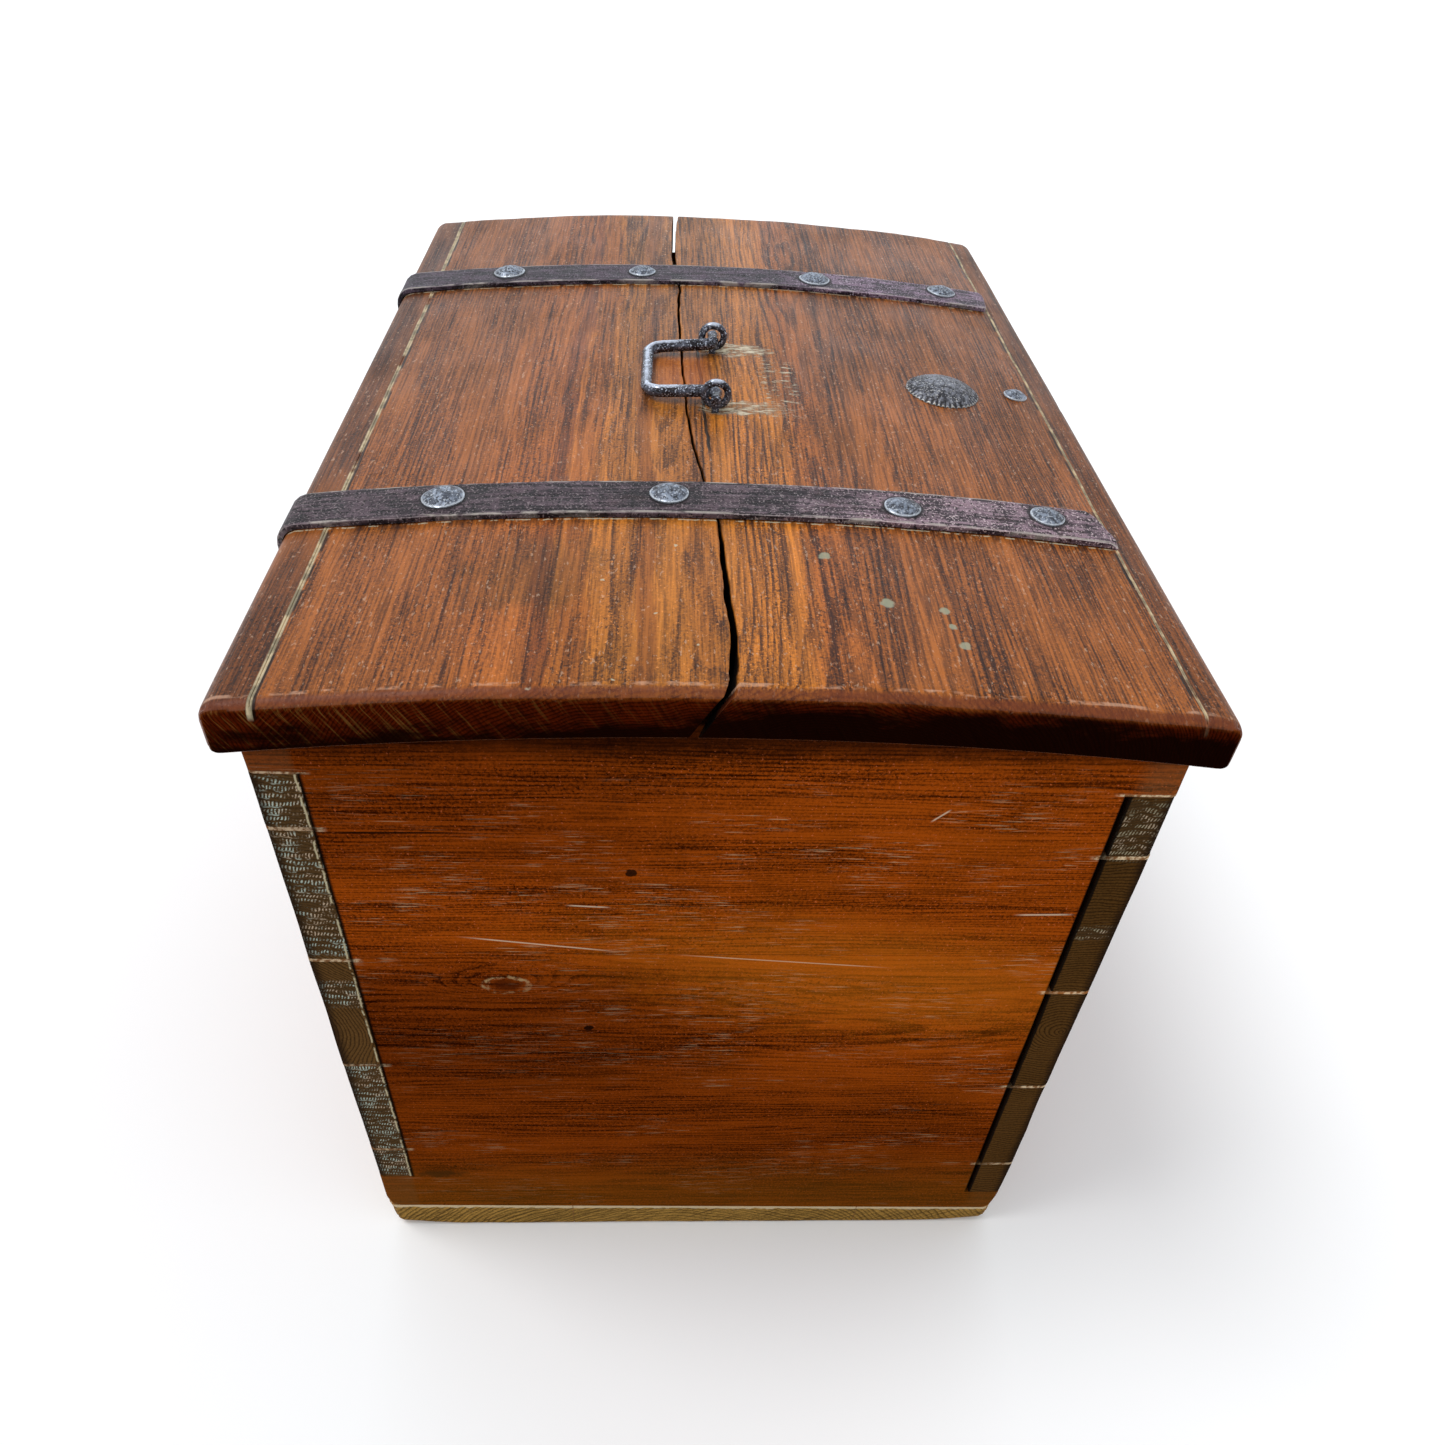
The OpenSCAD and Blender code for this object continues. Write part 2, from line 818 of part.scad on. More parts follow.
module lid_board_front() {
    color(dark_pine)
        difference() {
            lid_board(-1, front_joint_y);
            strap_nail_holes();
            eye_holes();
            rivet_holes();
            hasp_blank(0.1);
        }
}

module lid_board_back() {
    color(dark_pine)
        difference() {
            lid_board(1, back_joint_y);
            strap_nail_holes();
        }
}

module lid_strip_front() {
    color(dark_pine) lid_strip(-1, front_joint_y);
}

module lid_strip_back() {
    color(dark_pine) lid_strip(1, back_joint_y);
}

module strap_left() {
    color(iron) strap(left_strap_x, strap_front_y, strap_skew, left_nails);
}

module strap_right() {
    color(iron) strap(right_strap_x, strap_front_y + strap_skew / 2, -strap_skew / 2, right_nails);
}

module strap_nails_left() {
    color(steel) strap_nails(left_strap_x, left_nails);
}

module strap_nails_right() {
    color(steel) strap_nails(right_strap_x, right_nails);
}

module hinge_leaf_left() {
    color(iron) hinge_leaf(left_strap_x);
}

module hinge_leaf_right() {
    color(iron) hinge_leaf(right_strap_x);
}

module hinge_pin_left() {
    color(steel) hinge_pin(left_strap_x);
}

module hinge_pin_right() {
    color(steel) hinge_pin(right_strap_x);
}

module leaf_nails_left() {
    color(steel) leaf_nails(left_strap_x);
}

module leaf_nails_right() {
    color(steel) leaf_nails(right_strap_x);
}

module bail() {
    color(iron)
        translate([0, bail_y, bail_axis_z])
            rotate([bail_rest_angle, 0, 0])
                bail_shape();
}

module handle_eye_left() {
    color(iron) handle_eye(eye_left_x);
}

module handle_eye_right() {
    color(iron) handle_eye(eye_right_x);
}

module lid_boss() {
    color(steel)
        on_lid(boss_pos[0], boss_pos[1]) {
            cap(boss_d, boss_h);
            translate([0, 0, -lid_t])
                cylinder(r = strap_nail_r, h = lid_t + root);
        }
}

module lid_rivet() {
    color(steel)
        on_lid(rivet_pos[0], rivet_pos[1]) {
            cap(rivet_d, rivet_h);
            translate([0, 0, root - lid_t])
                cylinder(r = strap_nail_r, h = lid_t);
        }
}

module hasp_plate() {
    color(iron)
        difference() {
            hasp_blank(0);
            rivet_holes();
        }
}

module hasp_staple() {
    color(iron)
        intersection() {
            along_x(staple_x - staple_x_t / 2, staple_x + staple_x_t / 2)
                staple_plan();
            dome(under_centre_z, dome_r);
        }
}

// Case open towards the wall, with nailed flanges and two guides for the bolt
module lock_case() {
    half = lock_l / 2;
    low_z = lock_top_z - lock_h;
    slot_x = staple_x_t / 2 + slot_gap;
    slot_y = staple_w / 2 + slot_gap;
    color(iron)
        difference() {
            union() {
                block([lock_x - half, front_in_y, low_z], [lock_x + half, lock_back_y, lock_top_z]);
                block(
                    [lock_x - half - lock_flange, front_in_y, low_z],
                    [lock_x + half + lock_flange, front_in_y + lock_skin, lock_top_z]
                );
            }
            difference() {
                block(
                    [lock_x - half + lock_skin, front_in_y - cut, low_z + lock_skin],
                    [lock_x + half - lock_skin, lock_back_y - lock_skin, lock_top_z - lock_skin]
                );
                difference() {
                    for (x = bolt_guides)
                        block(
                            [x, front_in_y + lock_skin, bolt_z - bolt_size[2]],
                            [x + guide_t, lock_back_y, bolt_z + bolt_size[2]]
                        );
                    bolt_blank(guide_gap, bolt_guides[0] - cut, bolt_guides[1] + guide_t + cut);
                }
            }
            block(
                [staple_x - slot_x, staple_y - slot_y, lock_mid_z],
                [staple_x + slot_x, staple_y + slot_y, lock_top_z + cut]
            );
            at_lock_nails() small_nail_hole();
        }
}

module lock_bolt() {
    half = bolt_notch[0] / 2;
    low_z = bolt_z - bolt_size[2];
    notch_z = bolt_z - bolt_size[2] / 2 + bolt_notch[1];
    color(steel)
        difference() {
            bolt_blank(0, bolt_tip_x - bolt_size[0], bolt_tip_x);
            block(
                [key_x - half, staple_y - bolt_size[1], low_z],
                [key_x + half, staple_y + bolt_size[1], notch_z]
            );
        }
}

// Leaf spring over the bolt
module lock_spring() {
    from_x = lock_x - lock_l / 2 + lock_skin;
    tip_x = bolt_guides[0] - guide_t / 2;
    low_x = tip_x - spring_tip[0];
    low = bolt_z + bolt_size[2] / 2 + spring_gap;
    color(steel)
        along_y(staple_y - bolt_size[1] / 2, staple_y + bolt_size[1] / 2)
            polygon([
                [from_x, low + spring_rise], [from_x, low + spring_rise + spring_t],
                [low_x, low + spring_t], [tip_x, low + spring_tip[1] + spring_t],
                [tip_x, low + spring_tip[1]], [low_x, low]
            ]);
}

module lock_nails() {
    color(steel)
        at_lock_nails() small_nail(lock_skin);
}

module escutcheon() {
    w = plate_size[0] / 2;
    h = plate_size[1] / 2;
    side_h = h - plate_corner[1];
    cut_w = w - plate_corner[0];
    cut_h = h - plate_point;
    color(iron)
        difference() {
            translate([key_x, 0, plate_mid_z])
                along_y(-half_w - plate_t, -half_w)
                    polygon([
                        [-w, -side_h], [-w, side_h], [-cut_w, cut_h], [0, h], [cut_w, cut_h],
                        [w, side_h], [w, -side_h], [cut_w, -cut_h], [0, -h], [-cut_w, -cut_h]
                    ]);
            keyhole(-half_w - plate_t - cut, -half_w + cut, 0);
            at_escutcheon_nails() small_nail_hole();
        }
}

module escutcheon_nails() {
    color(steel)
        at_escutcheon_nails() small_nail(plate_t);
}

end_left_lower();
end_left_upper();
end_right_lower();
end_right_upper();
front_board_lower();
front_board_upper();
back_board_lower();
back_board_upper();
floor_board_front();
floor_board_middle();
floor_board_back();
floor_nails();
lid_board_front();
lid_board_back();
lid_strip_front();
lid_strip_back();
strap_left();
strap_right();
strap_nails_left();
strap_nails_right();
hinge_leaf_left();
hinge_leaf_right();
hinge_pin_left();
hinge_pin_right();
leaf_nails_left();
leaf_nails_right();
bail();
handle_eye_left();
handle_eye_right();
lid_boss();
lid_rivet();
hasp_plate();
hasp_staple();
lock_case();
lock_bolt();
lock_spring();
lock_nails();
escutcheon();
escutcheon_nails();
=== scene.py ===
import math

import bpy
import numpy as np
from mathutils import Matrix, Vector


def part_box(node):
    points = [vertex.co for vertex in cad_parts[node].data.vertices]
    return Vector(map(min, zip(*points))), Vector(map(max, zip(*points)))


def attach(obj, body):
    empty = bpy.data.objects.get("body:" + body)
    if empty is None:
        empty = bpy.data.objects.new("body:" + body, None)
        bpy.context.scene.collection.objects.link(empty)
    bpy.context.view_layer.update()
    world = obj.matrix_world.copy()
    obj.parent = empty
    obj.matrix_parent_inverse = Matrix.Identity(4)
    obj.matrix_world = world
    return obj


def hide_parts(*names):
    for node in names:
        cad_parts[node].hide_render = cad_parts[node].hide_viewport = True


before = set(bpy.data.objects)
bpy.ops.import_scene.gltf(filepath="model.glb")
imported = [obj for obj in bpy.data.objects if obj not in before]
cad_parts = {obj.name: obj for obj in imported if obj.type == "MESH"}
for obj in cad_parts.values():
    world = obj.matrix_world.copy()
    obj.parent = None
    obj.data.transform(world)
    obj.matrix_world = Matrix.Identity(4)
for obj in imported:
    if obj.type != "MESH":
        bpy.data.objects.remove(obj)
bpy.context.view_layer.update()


def box_mm(node):
    """Lowest and highest corner of a CAD node."""
    low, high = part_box(node)
    return np.array(low) * 1000, np.array(high) * 1000


# ---------------------------------------------------------------- sizes

HALF_L = box_mm("end_right_lower")[1][0]
HALF_W = box_mm("back_board_lower")[1][1]
WALL = 30
END_IN = HALF_L - WALL
SIDE_IN = HALF_W - WALL
SHRINK_GAP = 3
END_JOINT_Z = box_mm("end_left_lower")[1][2]
LONG_JOINT_Z = box_mm("front_board_lower")[1][2]
FLOOR_JOINTS = (-148, 112)
FLOOR_FRONT_T = 27
FLOOR_BACK_T = box_mm("floor_board_back")[1][2]
BACK_SEAMS = (91, 137, 264, 393, 521.5, 567)
FRONT_SEAMS = (57, 109, 233.5, 360, 504, 558.5)
PIN_HALF = 1.5
PIN_FLARE = 5
PIN_PULL = 20         # how far from a pin its tails' points are moved along with it
BOARD_ROUND = 0.9
CLOSE = 0.01          # heights nearer to each other than this are the same

LID_HALF_L = box_mm("lid_board_front")[1][0]
LID_FRONT = box_mm("lid_strip_front")[0][1]
LID_BACK = box_mm("lid_strip_back")[1][1]
LID_MID = (LID_FRONT + LID_BACK) / 2
LID_T = 34
LID_RISE = 18
LID_CROWN = box_mm("lid_board_front")[1][2]
LID_GAP = 1
CAVITY_TOP = LID_CROWN - LID_T - LID_GAP
DOME_R = (((LID_BACK - LID_FRONT) / 2) ** 2 + LID_RISE ** 2) / (2 * LID_RISE)
FRONT_JOINT = box_mm("lid_strip_front")[1][1]
BACK_JOINT = box_mm("lid_strip_back")[0][1]
STRIP_ROUND = 12
# The split along the lid: places along X, its middle along Y there, its width there
SPLIT_X = (-411, -398, -371, -342, -301, -261, -230, -183, -118, -69, -15, 55, 133, 182, 240, 277, 411)
SPLIT_Y = (1.6, -1.6, -2.6, -2, -0.4, 1.5, 3, 11, 19, 23, 25, 27, 29.5, 28, 32, 34.5, 33)
SPLIT_W = (6.5, 6, 5.2, 4.6, 3.8, 2.8, 2.2, 1.8, 1.7, 1.6, 1.6, 1.8, 2, 2.2, 2.8, 3.4, 5)
SPLIT_SLANT = 20

STRAP_W = 42
STRAP_T = 4
STRAPS = {"left": -207.5, "right": 217.0}
STRAP_FRONT = -268
STRAP_SKEW = 9
# Nails of each strap: offset from its middle, place along Y, head diameter
STRAP_NAILS = {
    "left": ((2.5, 184, 29.6), (3.5, 35, 26.7), (-1.5, -121, 25.8), (4.5, -223, 25)),
    "right": ((4, 188, 30), (0, 63, 25.5), (0, -100, 29.8), (5, -224, 27.6)),
}
HINGE_Y = 295.5
HINGE_Z = 588
KNUCKLE_R = 7.5
KNUCKLE_HALF = 6.85
PIN_HOLE_R = 3.55
STRAP_END_Z = 597.5

BAIL_Y = 1
BAIL_Z = 654.4
BAIL_ANGLE = -4.5
BAIL_R = 4.75
PIVOT_R = 3.6
EYES = {"left": -65.0, "right": 45.5}
EYE_H = 11.5
EYE_RING = 9
EYE_WIRE = 3
BOSS_AT = (-3, -186)
BOSS_R = 30.5
BOSS_H = 9
RIVET_AT = (5.6, -249.6)
KEYHOLE = (-24, -12, 529, 552)    # hidden by the escutcheon outside and the lock case inside

# Walls are bent to the floor below the first height and to the lid above the second
BEND_LOW_Z = 50
BEND_TOP_Z = 575
FLOOR_BLANK_T = 30    # the floor boards are cut even, then planed to their taper
SPLIT_BLANK_Y = 20    # the lid boards are cut straight here, then bent to the split
NAIL_RIM = 0.9        # thickness of a nail head's edge
SHANK_R = 3
CLENCH = 18           # length of a shank's end bent over under the lid
OUTER_X = -395        # where the marks on the left end's outer side are laid
FAR = 1e6             # farther than any piece reaches
# Heights between which a mark comes in, to lie on the lid's upper side only:
# near its long edges, and in its middle
TOP_EDGE_Z = (619, 623)
TOP_MIDDLE_Z = (630, 636)


# ---------------------------------------------------------------- numbers for shapes

def hash01(cells, seed):
    """Repeatable number from 0 to 1 for every whole-numbered cell."""
    mixed = cells[..., 0] * 374761393 + cells[..., 1] * 668265263 + cells[..., 2] * 951274213
    mixed = mixed + seed * 974711
    mixed = (mixed ^ (mixed >> 13)) * 1274126177
    return ((mixed ^ (mixed >> 16)) & 0xFFFF) / 0xFFFF


def columns(*parts):
    """Points or pairs whose coordinates are the given rows of numbers."""
    return np.stack(np.broadcast_arrays(*parts), axis=-1)


def turns(count):
    """Even angles once round a ring."""
    return np.linspace(0, 2 * math.pi, count, endpoint=False)


def bumps(points, size, seed=0):
    """Smooth random height from -1 to 1 at each point; size is the bumps' size."""
    places = np.asarray(points, float) / size
    cell = np.floor(places).astype(np.int64)
    part = places - cell
    part = part * part * (3 - 2 * part)
    total = np.zeros(part.shape[:-1])
    for corner in np.ndindex(2, 2, 2):
        weight = np.prod(np.where(corner, part, 1 - part), axis=-1)
        total += weight * hash01(cell + np.array(corner), seed)
    return total * 2 - 1


def wobble(values, size, seed=0):
    """Smooth random height from -1 to 1 along a line of numbers."""
    return bumps(columns(np.asarray(values, float), 0.5, 0.5), size, seed)


def smooth_step(values, low, high):
    """0 below low, 1 above high and smooth between."""
    part = np.clip((values - low) / (high - low), 0, 1)
    return part * part * (3 - 2 * part)


def lines(stops, step, offsets=(0.4, 1.2, 4)):
    """Grid lines through all the stops, close together beside each one."""
    found = []
    for low, high in zip(stops, stops[1:]):
        near = [o for o in offsets if o < (high - low) * 0.4] or [0]
        count = max(1, round((high - low - 2 * near[-1]) / step))
        found += [low] + [low + o for o in near] + [high - o for o in near] + [high]
        found += list(np.linspace(low + near[-1], high - near[-1], count + 1))
    return np.unique(np.round(found, 4))


# ---------------------------------------------------------------- meshes

def cells(xs, ys, zs, filled=None):
    """Closed skin of the filled cells of a grid of lines: its points and four-cornered faces."""
    counts = [len(values) for values in (xs, ys, zs)]
    if filled is None:
        filled = np.ones([n - 1 for n in counts], bool)
    padded = np.pad(filled, 1)
    index = np.arange(np.prod(counts)).reshape(counts)
    faces = []
    for axis in range(3):
        across = np.eye(3, dtype=int)[(axis + 1) % 3]
        up = np.eye(3, dtype=int)[(axis + 2) % 3]
        for side in (0, 1):
            beside = np.roll(padded, 1 - 2 * side, axis)[1:-1, 1:-1, 1:-1]
            at = np.argwhere(filled & ~beside) + side * np.eye(3, dtype=int)[axis]
            corners = [at, at + across, at + across + up, at + up]
            if side == 0:
                corners.reverse()
            faces.append(np.stack([index[tuple(c.T)] for c in corners], axis=1))
    faces = np.concatenate(faces)
    used, faces = np.unique(faces, return_inverse=True)
    places = np.stack(np.meshgrid(xs, ys, zs, indexing="ij"), axis=-1).reshape(-1, 3)
    return places[used], faces.reshape(-1, 4)


def lathe(profile, segments):
    """Turned shape from (radius, height) pairs that start and end on the axis."""
    inner = np.array(profile[1:-1], float)
    angles = turns(segments)
    radius = inner[:, :1]
    rings = columns(radius * np.cos(angles), radius * np.sin(angles), inner[:, 1:]).reshape(-1, 3)
    points = np.concatenate([rings, [[0, 0, profile[0][1]], [0, 0, profile[-1][1]]]])
    return points, ring_faces(len(inner), segments, len(rings))


def ring_faces(rings, segments, first_cap):
    """Faces between the rings of a round shape, and fans to the two points that close it."""
    faces = []
    for k in range(segments):
        after = (k + 1) % segments
        faces.append((first_cap, k, after))
        last = (rings - 1) * segments
        faces.append((first_cap + 1, last + after, last + k))
        for r in range(rings - 1):
            a, b = r * segments, (r + 1) * segments
            faces.append((a + k, b + k, b + after, a + after))
    return faces


def tube(path, radii, normal, segments=16, closed=False):
    """Rod along a path that lies in a plane; radii has its size across and along the normal."""
    path = np.asarray(path, float)
    normal = np.asarray(normal, float)
    if closed:
        heading = np.roll(path, -1, axis=0) - np.roll(path, 1, axis=0)
    else:
        heading = np.gradient(path, axis=0)
    heading /= np.linalg.norm(heading, axis=1)[:, None]
    side = np.cross(heading, normal)
    angles = turns(segments)
    radii = np.broadcast_to(np.asarray(radii, float).reshape(len(radii), -1), (len(path), 2))
    points = (path[:, None] + radii[:, :1, None] * np.cos(angles)[None, :, None] * side[:, None]
              + radii[:, 1:, None] * np.sin(angles)[None, :, None] * normal)
    points = points.reshape(-1, 3)
    if not closed:
        points = np.concatenate([points, path[:1], path[-1:]])
        return points, ring_faces(len(path), segments, len(path) * segments)
    faces = []
    for r in range(len(path)):
        for k in range(segments):
            a, b = r * segments, (r + 1) % len(path) * segments
            after = (k + 1) % segments
            faces.append((a + k, b + k, b + after, a + after))
    return points, faces


def bent_path(points, bends, step):
    """Points along a line with its corners bent round at the given radii."""
    points = np.asarray(points, float)
    found = [points[0]]
    for before, corner, after, bend in zip(points, points[1:], points[2:], bends):
        arrive = (corner - before) / np.linalg.norm(corner - before)
        leave = (after - corner) / np.linalg.norm(after - corner)
        half = math.acos(float(np.clip(arrive @ leave, -1, 1))) / 2
        inward = (leave - arrive) / np.linalg.norm(leave - arrive)
        centre = corner + inward * bend / math.cos(half)
        for angle in np.linspace(-half, half, 9):
            onward = (arrive + leave) / (2 * math.cos(half)) * math.sin(angle)
            found.append(centre + (onward - inward * math.cos(angle)) * bend)
    found.append(points[-1])
    filled = [found[0]]
    for a, b in zip(found, found[1:]):
        count = max(1, round(np.linalg.norm(b - a) / step))
        filled += [a + (b - a) * k / count for k in range(1, count + 1)]
    return np.array(filled)


def soften(points, low, high, radius):
    """Rounds a box's edges. Also says how near each point is to one, from 0 to 1."""
    radius = np.broadcast_to(np.asarray(radius, float), (len(points),))[:, None]
    inner = np.clip(points, low + radius, high - radius)
    out = points - inner
    size = np.abs(out)
    length = np.linalg.norm(out, axis=1)
    scale = np.where(length > 0, size.max(axis=1) / np.maximum(length, 1e-9), 1)
    near = np.sort(size, axis=1)[:, 1] / radius[:, 0]
    return inner + out * scale[:, None], near


def add_piece(name, shells, body, node, slot, material, end_material=None):
    """Makes one object from shells of (points, faces, attributes) and lets it stand for a CAD node."""
    points, faces, marks = [], [], {}
    for shell in shells:
        start = sum(len(p) for p in points)
        points.append(np.asarray(shell[0], float))
        faces += [[int(v) + start for v in face] for face in shell[1]]
        for key, values in (shell[2] if len(shell) > 2 else {}).items():
            marks.setdefault(key, []).append((start, values))
    points = np.concatenate(points)
    mesh = bpy.data.meshes.new(name)
    mesh.from_pydata((points / 1000).tolist(), [], faces)
    mesh.shade_smooth()
    mesh.set_sharp_from_angle(angle=math.radians(50))
    for key, parts in marks.items():
        values = np.zeros(len(points), np.float32)
        for start, part in parts:
            values[start:start + len(part)] = part
        mesh.attributes.new(key, "FLOAT", "POINT").data.foreach_set("value", values)
    mesh.materials.append(material)
    if end_material:
        mesh.materials.append(end_material)
        normals = np.zeros(len(faces) * 3)
        mesh.polygons.foreach_get("normal", normals)
        is_end = np.abs(normals.reshape(-1, 3)[:, 0]) > 0.8
        mesh.polygons.foreach_set("material_index", is_end.astype(np.int32))
    piece = bpy.data.objects.new(name, mesh)
    bpy.context.scene.collection.objects.link(piece)
    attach(piece, body)
    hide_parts(node)


# ---------------------------------------------------------------- shapes the pieces share

def floor_top(y):
    """Height of the tapered floor's upper side."""
    return FLOOR_FRONT_T + (FLOOR_BACK_T - FLOOR_FRONT_T) * (y + HALF_W) / (2 * HALF_W)


def lid_top(y):
    """Height of the lid's upper side."""
    return LID_CROWN - DOME_R + np.sqrt(DOME_R ** 2 - (y - LID_MID) ** 2)


def lid_normal(y):
    """Direction square to the lid's upper side."""
    lean = (y - LID_MID) / DOME_R
    return np.array([0, lean, math.sqrt(1 - lean ** 2)])


def on_lid(points, x, y):
    """Moves points from a flat place onto the lid, upright on its curve."""
    normal = lid_normal(y)
    points = np.asarray(points, float)
    forward = np.array([0, normal[2], -normal[1]])
    place = np.array([x, y, lid_top(y)])
    return place + points[:, :1] * [1, 0, 0] + points[:, 1:2] * forward + points[:, 2:] * normal


def spread(z, seams, amount):
    """Widens the pins of one corner: how far a height moves when a pin grows by amount."""
    move = np.zeros_like(z)
    for k, seam in enumerate(seams):
        gap = z - seam
        if k == 0:
            move += np.interp(gap, (-PIN_PULL, 0, PIN_PULL), (0, 1, 0))
        elif k == len(seams) - 1:
            move -= np.interp(gap, (-PIN_PULL, 0, PIN_PULL), (0, 1, 0))
        else:
            move += np.sign(gap) * np.interp(np.abs(gap), (0, PIN_HALF, PIN_PULL), (0, 1, 0))
    return z + move * amount


def in_pins(z, seams):
    """True where a height lies in one of a corner's pins."""
    inside = (z < seams[0]) | (z > seams[-1])
    for seam in seams[1:-1]:
        inside |= np.abs(z - seam) < PIN_HALF
    return inside


def seam_stops(seams):
    """Heights where the pins of one corner begin and end."""
    stops = [seams[0], seams[-1]]
    for seam in seams[1:-1]:
        stops += [seam - PIN_HALF, seam + PIN_HALF]
    return stops


def tail_limits(z, seams, bottom, top):
    """Lower and upper edge of the tail that a height belongs to."""
    edges = sorted([bottom, top] + [e for e in seam_stops(seams) if bottom < e < top])
    low = np.array([max([e for e in edges if e <= v + CLOSE], default=bottom) for v in z])
    high = np.array([min([e for e in edges if e >= v - CLOSE], default=top) for v in z])
    low = np.where(np.isclose(low, high), -FAR, low)
    return low, high


def fit_heights(points):
    """Bends a wall's square-cut bottom and top to the tapered floor and the domed lid."""
    x, y, z = points.T
    top = lid_top(y) - LID_T - LID_GAP
    low = floor_top(y)
    upper = (z - BEND_TOP_Z) * (top - BEND_TOP_Z) / (CAVITY_TOP - BEND_TOP_Z)
    lower = (z - FLOOR_FRONT_T) * (BEND_LOW_Z - low) / (BEND_LOW_Z - FLOOR_FRONT_T)
    z = np.where(z > BEND_TOP_Z, BEND_TOP_Z + upper, z)
    z = np.where(z < BEND_LOW_Z, low + lower, z)
    return columns(x, y, z)


def wear_box(points, tails=0.0):
    """Rounds the chest's own corners; tails is extra rounding for each point."""
    x, y, z = points.T
    upright = 4 + 1.2 * wobble(z + np.sign(x) * 300 + np.sign(y) * 900, 55) + tails
    size = np.array([HALF_L, HALF_W, FAR])
    x, y = soften(columns(x, y, 0), -size, size, upright)[0].T[:2]
    corner = smooth_step(np.abs(x) / HALF_L + np.abs(y) / HALF_W, 1.75, 2.0)
    foot = (3.5 + 9 * corner + bumps(points, 40, 5)) * (1 - smooth_step(z, 18, 60)) + 0.01
    side, _ = soften(columns(x, y, z), np.array([-HALF_L, -HALF_W, 0]), size, foot)
    dents = 0.35 * bumps(points, 70, 9) + 0.15 * bumps(points, 18, 3)
    inward = np.abs(dents) * 0.6
    side[:, 0] -= np.sign(side[:, 0]) * inward * (np.abs(side[:, 0]) > HALF_L - 8)
    side[:, 1] -= np.sign(side[:, 1]) * inward * (np.abs(side[:, 1]) > HALF_W - 8)
    return side


def inside_mark(points):
    """1 on the faces that look into the chest, 0 on the outer ones."""
    x, y = np.abs(points[:, 0]), np.abs(points[:, 1])
    return ((x < END_IN + 1) & (y < SIDE_IN + 1)).astype(float)


# ---------------------------------------------------------------- walls and floor

def end_board(name, side, low, high, material):
    """Board of an end: a panel with the pins of both corners."""
    outer = sorted((side * END_IN, side * HALF_L))
    panel_front = -SIDE_IN + SHRINK_GAP
    stops = [s for s in seam_stops(FRONT_SEAMS) + seam_stops(BACK_SEAMS) if low < s < high]
    xs = lines(outer, 8)
    ys = lines((-HALF_W, panel_front, SIDE_IN, HALF_W), 8)
    zs = lines(sorted([low, high] + stops), 8)
    middles = (zs[:-1] + zs[1:]) / 2
    rows = (ys[:-1] + ys[1:]) / 2
    panel = (rows > panel_front) & (rows < SIDE_IN)
    filled = panel[:, None] | (rows < panel_front)[:, None] & in_pins(middles, FRONT_SEAMS)
    filled |= (rows > SIDE_IN)[:, None] & in_pins(middles, BACK_SEAMS)
    points, faces = cells(xs, ys, zs, np.broadcast_to(filled, (len(xs) - 1,) + filled.shape))
    x, y, z = points.T
    in_panel = (y >= panel_front - CLOSE) & (y <= SIDE_IN + CLOSE)
    inside_board = (np.abs(z - low) > CLOSE) & (np.abs(z - high) > CLOSE)
    near_front = in_pins(z, FRONT_SEAMS) & inside_board
    near_back = in_pins(z, BACK_SEAMS)
    low_y = np.where(near_front, -FAR, panel_front)
    high_y = np.where(near_back, FAR, SIDE_IN)
    low_corner = columns(outer[0], np.where(in_panel, low_y, -FAR), low)
    high_corner = columns(outer[1], np.where(in_panel, high_y, FAR), high)
    rounded, wear = soften(points, low_corner, high_corner, BOARD_ROUND)
    pins = smooth_step(np.abs(y), SIDE_IN + 0.5, SIDE_IN + 2)
    depth = (HALF_L - np.abs(x)) / WALL
    zone_front = smooth_step(-y, -panel_front - PIN_PULL, -panel_front)
    zone_back = smooth_step(y, SIDE_IN - PIN_PULL, SIDE_IN)
    rounded[:, 2] = spread(rounded[:, 2], FRONT_SEAMS, depth * PIN_FLARE * zone_front)
    rounded[:, 2] = spread(rounded[:, 2], BACK_SEAMS, depth * PIN_FLARE * zone_back)
    marks = {"wear": wear * (1 - pins), "pin": pins, "inside": inside_mark(points)}
    shape = fit_heights(wear_box(rounded, 0.5 * pins))
    add_piece(name + "_board", [(shape, faces, marks)], "box", name, "end_pine", material)


